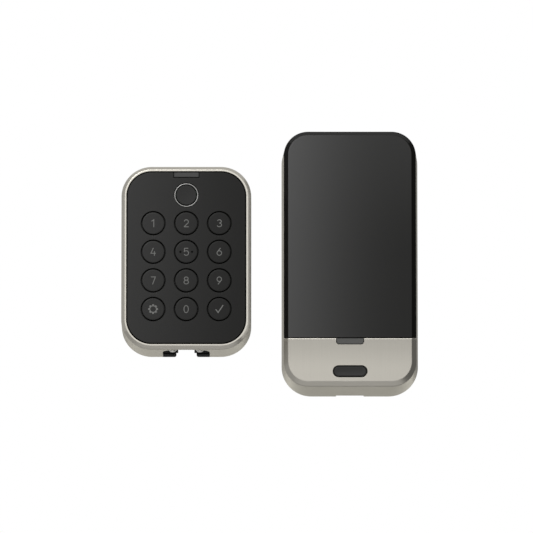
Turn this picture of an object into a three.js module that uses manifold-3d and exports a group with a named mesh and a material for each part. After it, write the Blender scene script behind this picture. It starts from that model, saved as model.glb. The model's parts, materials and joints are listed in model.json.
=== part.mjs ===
// Keypad smart lock: an outside keypad unit and an inside motor and battery unit, side by side.
// Millimetres, +Z up. Both fronts face -Y and both backs lie on the door plane, y = 0.
import * as THREE from 'three';
import { mergeVertices } from 'three/addons/utils/BufferGeometryUtils.js';
import Module from 'manifold-3d';

const wasm = await Module();
wasm.setup();

// ---- shared fits, walls and curve steps ----
const FIT = 0.3; // clearance between neighbouring pieces
const RUNNING_FIT = 0.15; // radial clearance of a turning shaft
const OVERCUT = 1; // how far a cutting shape runs past what it cuts
const DOOR_CLEARANCE = 0.4; // housing edge to door, taken up by gasket or plate
const UNIT_SPACING = 82.6; // centre line of one unit to centre line of the other
const CORNER_STEPS = 7; // straight stretches in each rounded corner
const EDGE_STEPS = 3; // straight stretches across a rounded edge
const SMALL_CORNER_STEPS = 3; // straight stretches in each corner of boards and slots
const ROUND_SIDES = 18; // sides of keys and their holes
const SMALL_SIDES = 12; // sides of screws, pins and bosses
const SCREW_RADIUS = 1.4;
const SCREW_HEAD_RADIUS = 2.5;
const SCREW_HEAD_HEIGHT = 1.1;
const SCREW_BOSS_RADIUS = 3.0;
const CORNER_FLAT = 0.01; // least straight stretch left between two rounded corners
const WELD_DISTANCE = 1e-4; // corners closer than this are one corner
const BOSS_BITE = 0.25; // how far a corner boss runs into the wall beside it

// ---- outside unit: housing and face ----
const OUTSIDE_DEPTH = 25.5;
const OUTSIDE_CORNER = 15.3;
const OUTSIDE_EDGE = 1.65; // rounded front edge
const OUTSIDE_RIM = 0.95; // flat rim between the rounded edge and the face
const OUTSIDE_WALL = 2.2;
const FACE_RECESS = 0.15;
const FACE_THICKNESS = 2.0;
const LEDGE_WIDTH = 1.6; // ledge behind the face plate
const LEDGE_THICKNESS = 1.4;

// ---- outside unit: keys ----
const KEY_COLUMN_PITCH = 16.66;
const KEY_ROW_PITCH = 14.65;
const KEYS_TO_SIDE = 16.09; // outer columns' centres to the housing's sides
const KEYS_TO_BOTTOM = 20.35; // bottom row's centres to the underside
const KEY_RADIUS = 5.7;
const KEY_GAP = 0.5;
const KEY_FLANGE_LIP = 0.7; // flange beyond its hole's edge
const KEY_FLANGE_THICKNESS = 0.8;
const KEY_POCKET_RADIUS = 4.0;
const KEY_POCKET_DEPTH = 0.9;
const KEY_TRAVEL = 0.8;
const DOME_RADIUS = 3.1;
const MAT_THICKNESS = 0.8;
const MAT_MARGIN = 8.3; // mat beyond the outer key centres
const MAT_CORNER = 4.0;

// ---- outside unit: fingerprint sensor and status window ----
const SENSOR_TO_TOP = 14.75; // centre to the housing's upper end
const SENSOR_TO_KEYS = 14.45; // centre to the top row's centres
const SENSOR_RING_RADIUS = 5.95;
const SENSOR_RING_WIDTH = 0.55;
const SENSOR_FLANGE_LIP = 0.8;
const WINDOW_WIDTH = 12.1;
const WINDOW_HEIGHT = 2.5;
const WINDOW_BORDER = 0.5;
const LIGHT_PIPE_WIDTH = 5.0;
const LIGHT_PIPE_DROP = 1.8; // light pipe below the window

// ---- outside unit: electronics ----
const BOARD_THICKNESS = 1.6;
const BOARD_TO_SIDE = 5.25; // board's edge to the housing's side
const BOARD_TO_TOP = 5.75; // board's edge to the housing's upper end
const BOARD_TO_BLOCK = 1.75; // board's edge to the terminal block's room
const BOARD_CORNER = 3.0;
const OUTSIDE_BORE_Z = -8; // centre of the door bore behind the outside unit
const CONNECTOR_WIDTH = 12;
const CONNECTOR_HEIGHT = 6;
const CONNECTOR_DEPTH = 4.0;
const CONNECTOR_WALL = 1.0;
const SOUNDER_RADIUS = 5.5;
const SOUNDER_DEPTH = 3.4;
const SOUNDER_PORT_RADIUS = 1.0;
const SOUNDER_X = 17;
const SOUNDER_TO_BOARD_END = 10; // centre to the board's lower edge

// ---- outside unit: battery bay for jump starting ----
const BAY_WIDTH = 23.7;
const BAY_FRONT_WALL = 4.3; // front of the unit to the bay's deepest point
const BAY_ARCH = 6.0; // rise of the bay's arched front edge
const BAY_ARCH_STEPS = 8;
const BLOCK_HEIGHT = 9.0;
const CHANNEL_WIDTH = 10.2; // between the two legs
const CHANNEL_HEIGHT = 5.2;
const CHANNEL_NARROW_WIDTH = 8.2; // between the two contact shelves in front of the legs
const LEG_SETBACK = 9.0; // bay's deepest point back to the legs
const LEG_CHAMFER = 1.0;
const SHELF_RECESS = 1.8; // contact shelves above the underside
const TERMINAL_PITCH = 13.8;
const TERMINAL_RADIUS = 2.6;
const TERMINAL_RECESS = 0.5;
const TERMINAL_STEM_RADIUS = 1.0;
const TERMINAL_STEM_LENGTH = 3.5;
const TERMINAL_OFFSET = 5.3; // bay's deepest point back to the terminal's centre

// ---- outside unit: back ----
const GASKET_THICKNESS = 1.2;
const GASKET_OPENING_RADIUS = 24;
const OUTSIDE_PLATE_THICKNESS = 1.6;
const BOLT_PITCH = 38.1; // through-bolts, to the standard door preparation
const POST_RADIUS = 4.0;
const POST_TO_BOARD = 3.45; // post's closed end to the circuit board
const POST_THREAD_RADIUS = 2.0;
const POST_END_WALL = 3.6;
const OUTSIDE_CABLE_HOLE_RADIUS = 7.0;
const OUTSIDE_SCREW_LENGTH = 8.0;

// ---- inside unit: housing and battery cover ----
const INSIDE_CORNER = 15.0;
const INSIDE_EDGE = 2.4;
const INSIDE_WALL = 2.2;
const SIDE_DRAFT = 1.1; // how far each side leans in from back to front
const END_DRAFT = 1.75; // the same for the upper and lower ends
const CORNER_DRAFT = 2.7; // loss of corner radius from back to front
const BORE_TO_BOTTOM = 36.05; // door bore's centre to the housing's lower end
const CHIN_HEIGHT = 25.95; // housing's lower end to the seam
const SEAM_GAP = 0.5;
const SEAM_CHAMFER = 0.45;
const COVER_SKIN = 1.8;
const COVER_TOP_SKIRT = 3.0; // how far the cover's top wall reaches back
const COVER_RAIL_THICKNESS = 1.4;
const COVER_RAIL_DEPTH = 3.0;
const COVER_RAIL_MARGIN = 3.0; // from the seam up to the rails
const COVER_LIP_HEIGHT = 2.0; // riser behind the cover's lower edge, which carries the tongues
const COVER_TONGUE_LENGTH = 3.5;
const COVER_TONGUE_THICKNESS = 0.8;
const COVER_TONGUE_WIDTH = 14.0;
const COVER_TONGUE_X = 17.0;
const NOTCH_WIDTH = 14.0;
const NOTCH_DEPTH = 2.1;
const NOTCH_HEIGHT = 3.4;

// ---- inside unit: latch and button ----
const LATCH_WIDTH = 14.0;
const LATCH_HEIGHT = 3.07;
const LATCH_CORNER = 1.0;
const LATCH_FLANGE_WIDTH = 18.0;
const LATCH_FLANGE_DROP = 2.2; // flange below the tab's lower edge
const LATCH_FLANGE_THICKNESS = 0.9;
const LATCH_GAP = 0.3;
const LATCH_RECESS = 0.15;
const LATCH_NOSE_WIDTH = 8.0;
const LATCH_NOSE_RISE = 2.5;
const BUTTON_WIDTH = 17.0;
const BUTTON_HEIGHT = 5.8;
const BUTTON_GAP = 0.45;
const BUTTON_RISE = 8.75; // housing's lower end to the button's centre
const BUTTON_STEPS = 6;
const BUTTON_FLANGE_LIP = 0.8;
const BUTTON_FLANGE_THICKNESS = 0.8;
const BUTTON_TRAVEL = 1.0;
const SWITCH_SIZE = 6.0;
const SWITCH_HEIGHT = 3.0;
const PLUNGER_RADIUS = 1.7;
const PLUNGER_HEIGHT = 0.8;
const BUTTON_BOARD_WIDTH = 27;
const BUTTON_BOARD_HEIGHT = 10;
const BUTTON_BOARD_THICKNESS = 1.2;
const BUTTON_POST_X = 10.5;

// ---- inside unit: plates ----
const PLATE_THICKNESS = 1.6;
const PLATE_TO_BOLT = 3.95; // through-bolts' centres to the plate's sides
const PLATE_ABOVE_BORE = 61; // door bore's centre to the plate's upper edge
const PLATE_RISE = 6.05; // housing's lower end to the plate's lower edge
const PLATE_CORNER = 8;
const CHASSIS_THICKNESS = 1.6;
const BUTTON_POST_RADIUS = 2.2;
const LUG_X = 12;
const LUG_WIDTH = 4;
const LUG_DEPTH = 3;
const BORE_Z = -31; // centre of the door bore behind the inside unit
const BOLT_SLOT_WIDTH = 5.4;
const BOLT_SLOT_LENGTH = 9.0;
const BOLT_HEAD_CLEARANCE = 5.5;
const CABLE_SLOT_WIDTH = 14;
const CABLE_SLOT_HEIGHT = 6;
const CABLE_SLOT_DROP = 18; // below the door bore's centre
const HUB_BOARD_GAP = 2.0; // round the spindle's hub, in the circuit board
const PLATE_SCREW_INSET = 4; // plate's side to its screws
const PLATE_SCREW_RISE = 6; // plate's lower edge to its screws
const PLATE_SCREW_LENGTH = 3.4;
const CHASSIS_SCREW_LENGTH = 7.0;

// ---- inside unit: gear train ----
const GEAR_MODULE = 0.8;
const PRESSURE_ANGLE = (25 * Math.PI) / 180;
const ADDENDUM = 0.8; // in modules
const DEDENDUM = 1.1;
const BACKLASH = 0.16;
const SPINDLE_TEETH = 40;
const IDLER_PINION_TEETH = 10;
const IDLER_WHEEL_TEETH = 36;
const MOTOR_PINION_TEETH = 10;
const IDLER_BEARING = (130 * Math.PI) / 180; // direction from spindle to idler, seen from the front
const MOTOR_BEARING = (30 * Math.PI) / 180; // direction from idler to motor
const SPINDLE_GEAR_THICKNESS = 4.0;
const WHEEL_THICKNESS = 2.0;
const GEAR_SPACE = 1.0; // axial room between the two gear layers
const HUB_RADIUS = 6.0;
const HUB_DOOR_CLEARANCE = 0.5;
const SOCKET_SIZE = 5.2; // square socket for the tailpiece
const SOCKET_DEPTH = 9.0;
const STUB_RADIUS = 3.0;
const IDLER_PIN_RADIUS = 1.5;
const IDLER_BOSS_RADIUS = 3.4;
const MOTOR_RADIUS = 7.0;
const MOTOR_SHAFT_RADIUS = 1.0;
const MOTOR_SHAFT_DEPTH = 3.0;
const MOTOR_CUP_WALL = 1.2;
const MOTOR_CUP_DEPTH = 3.4;
const DECK_TO_RAIL = 0.7; // deck's edge to the cover's rail
const DECK_TO_TRAY = 2.3; // deck's upper edge to the battery tray
const DECK_THICKNESS = 1.2;
const DECK_CORNER = 2.0;
const DECK_POST_RADIUS = 2.4;
const DECK_POST_INSET = 2.6;

// ---- inside unit: electronics and batteries ----
const INSIDE_BOARD_WIDTH = 46;
const BOARD_ABOVE_BORE = 31;
const BOARD_BELOW_BORE = 12;
const BOARD_STANDOFF = 2.0;
const STANDOFF_RADIUS = 2.0;
const STANDOFF_X = 19.5;
const STANDOFF_TO_BOARD_TOP = 17;
const STANDOFF_TO_BOARD_END = 3;
const INSIDE_CONNECTOR_X = 15;
const CONNECTOR_TO_BOARD_END = 5;
const CELL_RADIUS = 7.25;
const CELL_LENGTH = 50.5;
const CELL_NUB_RADIUS = 2.75;
const CELL_NUB_HEIGHT = 1.0;
const CELL_COUNT = 4;
const CELLS_TO_SIDE = 12.3; // outer cells' centre lines to the housing's sides
const CELLS_TO_TOP = 9.55; // cells' upper ends to the housing's upper end
const CELLS_TO_COVER = 2.2; // cells to the cover's inner face
const BORE_TO_TRAY = 33.7; // door bore's centre to the tray's lower end
const CELL_SIDES = 18;
const CONTACT_RISE = 2.0;
const CONTACT_THICKNESS = 0.5;
const CONTACT_HEIGHT = 9.0;
const TRAY_WALL = 1.2;
const TRAY_FLOOR = 1.4;
const TRAY_TO_CELL_FRONT = 2.2; // how far the tray's walls stop short of the cells' fronts
const RIB_WIDTH = 1.6;
const RIB_HEIGHT = 3.8;
const RIB_END_MARGIN = 6.0;
const SPRING_TIP_RADIUS = 2.0;
const SPRING_BASE_RADIUS = 3.2;
const DIMPLE_TIP_RADIUS = 1.4;
const DIMPLE_BASE_RADIUS = 2.0;

// ---- places worked out from the sizes above ----
const keyLayout = [
  ['key_1', 'key_2', 'key_3'],
  ['key_4', 'key_5', 'key_6'],
  ['key_7', 'key_8', 'key_9'],
  ['key_settings', 'key_0', 'key_enter'],
];
const keyFieldWidth = (keyLayout[0].length - 1) * KEY_COLUMN_PITCH;
const keyFieldHeight = (keyLayout.length - 1) * KEY_ROW_PITCH;
const outsideWidth = keyFieldWidth + 2 * KEYS_TO_SIDE;
const outsideHeight = SENSOR_TO_TOP + SENSOR_TO_KEYS + keyFieldHeight + KEYS_TO_BOTTOM;
const underside = -outsideHeight / 2;
const sensorZ = outsideHeight / 2 - SENSOR_TO_TOP;
const keyTopRowZ = sensorZ - SENSOR_TO_KEYS;
const keyBottomRowZ = underside + KEYS_TO_BOTTOM;
const outsideFront = -OUTSIDE_DEPTH;
const outsideBack = -DOOR_CLEARANCE;
const faceInset = OUTSIDE_EDGE + OUTSIDE_RIM;
const faceFront = outsideFront + FACE_RECESS;
const faceBack = faceFront + FACE_THICKNESS;
const ledgeFront = faceBack + FIT;
const ledgeBack = ledgeFront + LEDGE_THICKNESS;
const keyFlangeFront = faceBack + FIT;
const keyFlangeBack = keyFlangeFront + KEY_FLANGE_THICKNESS;
const matFront = keyFlangeBack + KEY_TRAVEL + FIT;
const matBack = matFront + MAT_THICKNESS;
const outsideBoardFront = matBack + FIT;
const outsideBoardBack = outsideBoardFront + BOARD_THICKNESS;
const outsidePlateBack = -GASKET_THICKNESS - FIT;
const outsidePlateFront = outsidePlateBack - OUTSIDE_PLATE_THICKNESS;
const bayFront = outsideFront + BAY_FRONT_WALL;
const legFront = bayFront + LEG_SETBACK;
const outsideBoardWidth = outsideWidth - 2 * BOARD_TO_SIDE;
const outsideBoardTop = outsideHeight / 2 - BOARD_TO_TOP;
const outsideBoardBottom = underside + BLOCK_HEIGHT + BOARD_TO_BLOCK;
const postFront = outsideBoardBack + POST_TO_BOARD;
const terminalTop = underside + SHELF_RECESS + TERMINAL_STEM_LENGTH;

const plateFront = -PLATE_THICKNESS;
const chassisBack = plateFront - FIT;
const chassisFront = chassisBack - CHASSIS_THICKNESS;
const trayBack = chassisFront - FIT;
const cellY = trayBack - TRAY_FLOOR - FIT - CELL_RADIUS;
const cellFront = cellY - CELL_RADIUS;
const cellPitch = 2 * CELL_RADIUS + FIT;
const trayBottom = BORE_Z + BORE_TO_TRAY;
const cellBottom = trayBottom + TRAY_WALL + CONTACT_THICKNESS + CONTACT_RISE + 2 * FIT;
const cellTop = cellBottom + CELL_LENGTH;
const trayTop = cellTop + 2 * FIT + CONTACT_RISE + CONTACT_THICKNESS;

const insideTop = cellTop + CELLS_TO_TOP;
const insideBottom = BORE_Z - BORE_TO_BOTTOM;
const insideMiddle = (insideTop + insideBottom) / 2;
const insideHeight = insideTop - insideBottom;
const insideWidth = (CELL_COUNT - 1) * cellPitch + 2 * CELLS_TO_SIDE;
const frontWidth = insideWidth - 2 * SIDE_DRAFT;
const frontHeight = insideHeight - 2 * END_DRAFT;
const frontCorner = INSIDE_CORNER - CORNER_DRAFT;
const seamZ = insideBottom + CHIN_HEIGHT;
const buttonZ = insideBottom + BUTTON_RISE;
const insideFront = cellFront - CELLS_TO_COVER - COVER_SKIN;
const insideBack = -DOOR_CLEARANCE;
const edgeBack = insideFront + INSIDE_EDGE;
const skinBack = insideFront + INSIDE_WALL;
const coverSkinBack = insideFront + COVER_SKIN;
const topStepZ = insideTop - END_DRAFT - frontCorner;
const topSkirtBack = edgeBack + COVER_TOP_SKIRT;
const plateWidth = BOLT_PITCH + 2 * PLATE_TO_BOLT;
const plateTop = BORE_Z + PLATE_ABOVE_BORE;
const plateBottom = insideBottom + PLATE_RISE;
const insideBoardTop = BORE_Z + BOARD_ABOVE_BORE;
const insideBoardBottom = BORE_Z - BOARD_BELOW_BORE;
const insideBoardBack = chassisFront - BOARD_STANDOFF;
const insideBoardFront = insideBoardBack - BOARD_THICKNESS;
const motorBack = chassisFront - FIT;
const tongueFront = skinBack + FIT;
const tongueBack = tongueFront + COVER_TONGUE_THICKNESS;
const deckFront = tongueBack + FIT;
const deckBack = deckFront + DECK_THICKNESS;
const wheelFront = deckBack + FIT;
const wheelBack = wheelFront + WHEEL_THICKNESS;
const spindleGearFront = wheelBack + GEAR_SPACE;
const spindleGearBack = spindleGearFront + SPINDLE_GEAR_THICKNESS;
const motorFront = wheelBack + FIT;
const deckBottom = seamZ + LATCH_NOSE_RISE + FIT;
const deckTop = trayBottom - DECK_TO_TRAY;
const deckWidth = frontWidth - 2 * (INSIDE_WALL + FIT + COVER_RAIL_THICKNESS + DECK_TO_RAIL);

const spindleCentre = [0, BORE_Z];
const idlerDistance = (GEAR_MODULE * (SPINDLE_TEETH + IDLER_PINION_TEETH)) / 2;
const motorDistance = (GEAR_MODULE * (IDLER_WHEEL_TEETH + MOTOR_PINION_TEETH)) / 2;
const idlerCentre = stepFrom(spindleCentre, idlerDistance, IDLER_BEARING);
const motorCentre = stepFrom(idlerCentre, motorDistance, MOTOR_BEARING);

// ---- materials ----
const NICKEL = { color: 0xbdbab0, roughness: 0.35, metalness: 1.0 };
const BLACK = { color: 0x2c2c2a, roughness: 0.45, metalness: 0.0 };
const KEY_BLACK = { color: 0x2f2f2d, roughness: 0.5, metalness: 0.0 };
const SMOKE = { color: 0x505050, roughness: 0.35, metalness: 0.0 };
const RUBBER = { color: 0x3b3b3b, roughness: 0.9, metalness: 0.0 };
const STEEL = { color: 0xb5b5b2, roughness: 0.35, metalness: 1.0 };
const BRASS = { color: 0xc8a857, roughness: 0.3, metalness: 1.0 };
const BOARD = { color: 0x1f5a37, roughness: 0.5, metalness: 0.0 };
const NYLON = { color: 0xe6e2d3, roughness: 0.5, metalness: 0.0 };
const CELL_WRAP = { color: 0x6f7478, roughness: 0.3, metalness: 0.4 };

// ---- outlines: lists of points in the X-Z plane, anticlockwise seen from the front ----
function stepFrom([x, z], distance, angle) {
  return [x + distance * Math.cos(angle), z + distance * Math.sin(angle)];
}

function arc(x, z, radius, from, to, steps) {
  const points = [];
  for (let i = 0; i <= steps; i++) {
    const angle = from + ((to - from) * i) / steps;
    points.push(new THREE.Vector2(x + radius * Math.cos(angle), z + radius * Math.sin(angle)));
  }
  return points;
}

function circle(x, z, radius, sides = ROUND_SIDES) {
  return arc(x, z, radius, 0, 2 * Math.PI, sides).slice(0, -1);
}

function roundedRect(width, height, radius, x = 0, z = 0, steps = CORNER_STEPS) {
  const corner = Math.min(radius, width / 2 - CORNER_FLAT, height / 2 - CORNER_FLAT);
  const dx = width / 2 - corner;
  const dz = height / 2 - corner;
  return [[dx, -dz], [dx, dz], [-dx, dz], [-dx, -dz]].flatMap(([cx, cz], i) =>
    arc(x + cx, z + cz, corner, ((i - 1) * Math.PI) / 2, (i * Math.PI) / 2, steps));
}

function outsideOutline(inset) {
  return roundedRect(outsideWidth - 2 * inset, outsideHeight - 2 * inset, OUTSIDE_CORNER - inset);
}

// The inside unit's drafted wall at depth y.
function insideOutline(y, inset) {
  const share = (insideBack - y) / (insideBack - edgeBack);
  const width = insideWidth - 2 * SIDE_DRAFT * share;
  const height = insideHeight - 2 * END_DRAFT * share;
  const corner = INSIDE_CORNER - CORNER_DRAFT * share;
  return roundedRect(width - 2 * inset, height - 2 * inset, corner - inset, 0, insideMiddle);
}

function frontOutline(inset) {
  return roundedRect(frontWidth - 2 * inset, frontHeight - 2 * inset, frontCorner - inset, 0, insideMiddle);
}

function pill(width, height, z) {
  return roundedRect(width, height, height / 2, 0, z, BUTTON_STEPS);
}

// One gear's toothed outline, with a tooth centred on the angle phase.
function gearOutline(teeth, [x, z], phase) {
  const pitchRadius = (GEAR_MODULE * teeth) / 2;
  const baseRadius = pitchRadius * Math.cos(PRESSURE_ANGLE);
  const tipRadius = pitchRadius + ADDENDUM * GEAR_MODULE;
  const rootRadius = pitchRadius - DEDENDUM * GEAR_MODULE;
  const involute = (angle) => Math.tan(angle) - angle;
  const halfTooth = (Math.PI * GEAR_MODULE / 2 - BACKLASH / 2) / (2 * pitchRadius);
  const halfAngle = (radius) => {
    const slope = Math.acos(Math.min(1, baseRadius / Math.max(radius, baseRadius)));
    return halfTooth + involute(PRESSURE_ANGLE) - involute(slope);
  };
  const flank = [rootRadius, pitchRadius, tipRadius];
  const points = [];
  for (let i = 0; i < teeth; i++) {
    const centre = phase + (2 * Math.PI * i) / teeth;
    for (const radius of flank) points.push(polar(x, z, radius, centre - halfAngle(radius)));
    for (const radius of [...flank].reverse()) points.push(polar(x, z, radius, centre + halfAngle(radius)));
  }
  return points;
}

function polar(x, z, radius, angle) {
  return new THREE.Vector2(x + radius * Math.cos(angle), z + radius * Math.sin(angle));
}

// The tooth phase that puts a gear in mesh with its driver, which has a tooth at driverPhase.
function meshPhase(driverTeeth, driverPhase, driverCentre, teeth, centre) {
  const angle = Math.atan2(centre[1] - driverCentre[1], centre[0] - driverCentre[0]);
  const driverTurn = ((angle - driverPhase) * driverTeeth) / (2 * Math.PI);
  return angle + Math.PI - ((0.5 - driverTurn) * 2 * Math.PI) / teeth;
}

// ---- solids ----
function solid(geometry) {
  const bare = new THREE.BufferGeometry();
  bare.setAttribute('position', geometry.attributes.position);
  if (geometry.index) bare.setIndex(geometry.index);
  const merged = mergeVertices(bare, WELD_DISTANCE);
  const position = merged.attributes.position;
  const index = merged.index.array;
  const corner = [0, 1, 2].map(() => new THREE.Vector3());
  const faces = [];
  let volume = 0;
  for (let i = 0; i < index.length; i += 3) {
    const face = [index[i], index[i + 1], index[i + 2]];
    if (new Set(face).size < 3) continue;
    face.forEach((vertex, k) => corner[k].fromBufferAttribute(position, vertex));
    volume += corner[0].dot(corner[1].cross(corner[2]));
    faces.push(face);
  }
  const triVerts = new Uint32Array(faces.flatMap((face) => (volume < 0 ? face.reverse() : face)));
  const vertProperties = new Float32Array(position.array);
  return new wasm.Manifold(new wasm.Mesh({ numProp: 3, vertProperties, triVerts }));
}

// A flat piece with its outline in the X-Z plane, from y = back forward to y = front.
function plate(outline, back, front, holes = []) {
  const shape = new THREE.Shape(outline);
  shape.holes = holes.map((hole) => new THREE.Path(hole));
  const geometry = new THREE.ExtrudeGeometry(shape, { depth: back - front, bevelEnabled: false });
  geometry.rotateX(Math.PI / 2);
  geometry.translate(0, back, 0);
  return solid(geometry);
}

// A piece with its outline in the X-Y plane, from z = low up to z = high.
function upright(outline, low, high) {
  const options = { depth: high - low, bevelEnabled: false };
  const geometry = new THREE.ExtrudeGeometry(new THREE.Shape(outline), options);
  geometry.translate(0, 0, low);
  return solid(geometry);
}

function box([x0, x1], [y0, y1], [z0, z1]) {
  const geometry = new THREE.BoxGeometry(Math.abs(x1 - x0), Math.abs(y1 - y0), Math.abs(z1 - z0));
  geometry.translate((x0 + x1) / 2, (y0 + y1) / 2, (z0 + z1) / 2);
  return solid(geometry);
}

// A turned piece about the Y axis through (x, z); the profile is a list of [radius, y].
function turned(profile, [x, z] = [0, 0], sides = SMALL_SIDES) {
  const points = profile.map(([radius, y]) => new THREE.Vector2(radius, y));
  const geometry = new THREE.LatheGeometry(points, sides);
  geometry.translate(x, 0, z);
  return solid(geometry);
}

function rod(radius, back, front, centre, sides = SMALL_SIDES) {
  return turned([[0, back], [radius, back], [radius, front], [0, front]], centre, sides);
}

// A closed skin through a row of outlines, given from the back forward as [y, outline].
function stack(rings) {
  const count = rings[0][1].length;
  const positions = rings.flatMap(([y, outline]) => outline.flatMap((p) => [p.x, y, p.y]));
  const faces = [];
  for (let ring = 0; ring < rings.length - 1; ring++) {
    for (let i = 0; i < count; i++) {
      const a = ring * count + i;
      const b = ring * count + ((i + 1) % count);
      faces.push(a, b, b + count, a, b + count, a + count);
    }
  }
  const cap = THREE.ShapeUtils.triangulateShape(rings[0][1], []);
  const last = (rings.length - 1) * count;
  for (const [a, b, c] of cap) faces.push(c, b, a, a + last, b + last, c + last);
  const geometry = new THREE.BufferGeometry();
  geometry.setAttribute('position', new THREE.Float32BufferAttribute(positions, 3));
  geometry.setIndex(faces);
  return solid(geometry);
}

// The rings of a rounded front edge on an outline that takes an inset.
function roundedEdge(outline, front, radius) {
  const rings = [];
  for (let i = 0; i <= EDGE_STEPS; i++) {
    const angle = ((Math.PI / 2) * i) / EDGE_STEPS;
    rings.push([front + radius * (1 - Math.sin(angle)), outline(radius * (1 - Math.cos(angle)))]);
  }
  return rings;
}

function union(solids) {
  return solids.reduce((whole, next) => whole.add(next));
}

function cut(body, tools) {
  return tools.reduce((left, tool) => left.subtract(tool), body);
}

const outsideUnit = new THREE.Group();
const insideUnit = new THREE.Group();
outsideUnit.position.x = -UNIT_SPACING;

function addPiece(unit, name, body, finish) {
  const mesh = body.getMesh();
  const geometry = new THREE.BufferGeometry();
  geometry.setAttribute('position', new THREE.Float32BufferAttribute(mesh.vertProperties, 3));
  geometry.setIndex(new THREE.Uint32BufferAttribute(mesh.triVerts, 1));
  geometry.computeVertexNormals();
  const piece = new THREE.Mesh(geometry, new THREE.MeshStandardMaterial(finish));
  piece.name = name;
  unit.add(piece);
}

// A pan-head screw with its head's underside at y = seat, driven along Y in the given direction.
function screw(centre, seat, length, direction) {
  const top = seat - direction * SCREW_HEAD_HEIGHT;
  const tip = seat + direction * length;
  return turned([
    [0, top], [SCREW_HEAD_RADIUS, top], [SCREW_HEAD_RADIUS, seat],
    [SCREW_RADIUS, seat], [SCREW_RADIUS, tip], [0, tip],
  ], centre);
}

// Centres of bosses tucked into the rounded corners of a housing's walls.
function cornerBosses(width, height, corner, wall) {
  const reach = (corner - wall - SCREW_BOSS_RADIUS + BOSS_BITE) / Math.SQRT2;
  const x = width / 2 - corner + reach;
  const z = height / 2 - corner + reach;
  return { x, z };
}

// ---- outside unit ----
const outsideBoss = cornerBosses(outsideWidth, outsideHeight, OUTSIDE_CORNER, OUTSIDE_WALL);
const outsideBossCentres = [[-outsideBoss.x, outsideBoss.z], [outsideBoss.x, -outsideBoss.z]];

const keys = keyLayout.flatMap((row, r) => row.map((name, c) => (
  { name, centre: [c * KEY_COLUMN_PITCH - keyFieldWidth / 2, keyTopRowZ - r * KEY_ROW_PITCH] })));

// The bay's plan: straight sides from the back and an arched front, drawn in X and Y.
function bayPlan(clearance) {
  const half = BAY_WIDTH / 2 - clearance;
  const radius = (half * half + BAY_ARCH * BAY_ARCH) / (2 * BAY_ARCH);
  const spread = Math.asin(half / radius);
  const arch = arc(0, bayFront + clearance + radius, radius, -Math.PI / 2 - spread,
    -Math.PI / 2 + spread, BAY_ARCH_STEPS);
  const back = clearance > 0 ? outsideBack : DOOR_CLEARANCE;
  return [...arch, new THREE.Vector2(half, back), new THREE.Vector2(-half, back)];
}

function outsideHousing() {
  const outer = stack([
    [outsideBack, outsideOutline(0)],
    ...roundedEdge(outsideOutline, outsideFront, OUTSIDE_EDGE),
  ]);
  const ledgeOpening = plate(outsideOutline(faceInset + LEDGE_WIDTH),
    ledgeBack + OVERCUT, outsideFront - OVERCUT);
  const facePocket = plate(outsideOutline(faceInset), ledgeFront, outsideFront - OVERCUT);
  const cavity = plate(outsideOutline(OUTSIDE_WALL), OVERCUT, ledgeBack);
  const bosses = outsideBossCentres.map((centre) =>
    rod(SCREW_BOSS_RADIUS, outsidePlateFront - FIT, ledgeBack - LEDGE_THICKNESS / 2, centre));
  const screwHoles = outsideBossCentres.map((centre) =>
    rod(SCREW_RADIUS + FIT, 0, outsidePlateFront - OUTSIDE_SCREW_LENGTH, centre));
  const bay = upright(bayPlan(0), underside - OVERCUT, underside + BLOCK_HEIGHT);
  const shell = cut(outer, [ledgeOpening, facePocket, cavity]);
  return cut(union([shell, ...bosses]), [...screwHoles, bay]);
}

function facePlate() {
  const keyHoles = keys.map(({ centre }) => circle(...centre, KEY_RADIUS + KEY_GAP));
  const sensorHole = circle(0, sensorZ, SENSOR_RING_RADIUS + FIT);
  const body = plate(outsideOutline(faceInset + FIT), faceBack, faceFront, [...keyHoles, sensorHole]);
  const top = outsideHeight / 2 - faceInset;
  const half = WINDOW_WIDTH / 2 + WINDOW_BORDER;
  const notch = box([-half, half], [faceBack + OVERCUT, faceFront - OVERCUT],
    [top - FIT - WINDOW_HEIGHT - WINDOW_BORDER, top + OVERCUT]);
  return body.subtract(notch);
}

function keyCap(centre) {
  const flange = KEY_RADIUS + KEY_GAP + KEY_FLANGE_LIP;
  const pocketFloor = keyFlangeBack - KEY_POCKET_DEPTH;
  return turned([
    [0, faceFront], [KEY_RADIUS, faceFront], [KEY_RADIUS, keyFlangeFront],
    [flange, keyFlangeFront], [flange, keyFlangeBack],
    [KEY_POCKET_RADIUS, keyFlangeBack], [KEY_POCKET_RADIUS, pocketFloor], [0, pocketFloor],
  ], centre, ROUND_SIDES);
}

function fingerprintRing() {
  const inner = SENSOR_RING_RADIUS - SENSOR_RING_WIDTH;
  const flange = SENSOR_RING_RADIUS + FIT + SENSOR_FLANGE_LIP;
  return turned([
    [inner, faceFront], [SENSOR_RING_RADIUS, faceFront], [SENSOR_RING_RADIUS, keyFlangeFront],
    [flange, keyFlangeFront], [flange, keyFlangeBack], [inner, keyFlangeBack], [inner, faceFront],
  ], [0, sensorZ], ROUND_SIDES);
}

function fingerprintSensor() {
  const radius = SENSOR_RING_RADIUS - SENSOR_RING_WIDTH - FIT;
  return rod(radius, outsideBoardFront - FIT, faceFront, [0, sensorZ], ROUND_SIDES);
}

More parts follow.
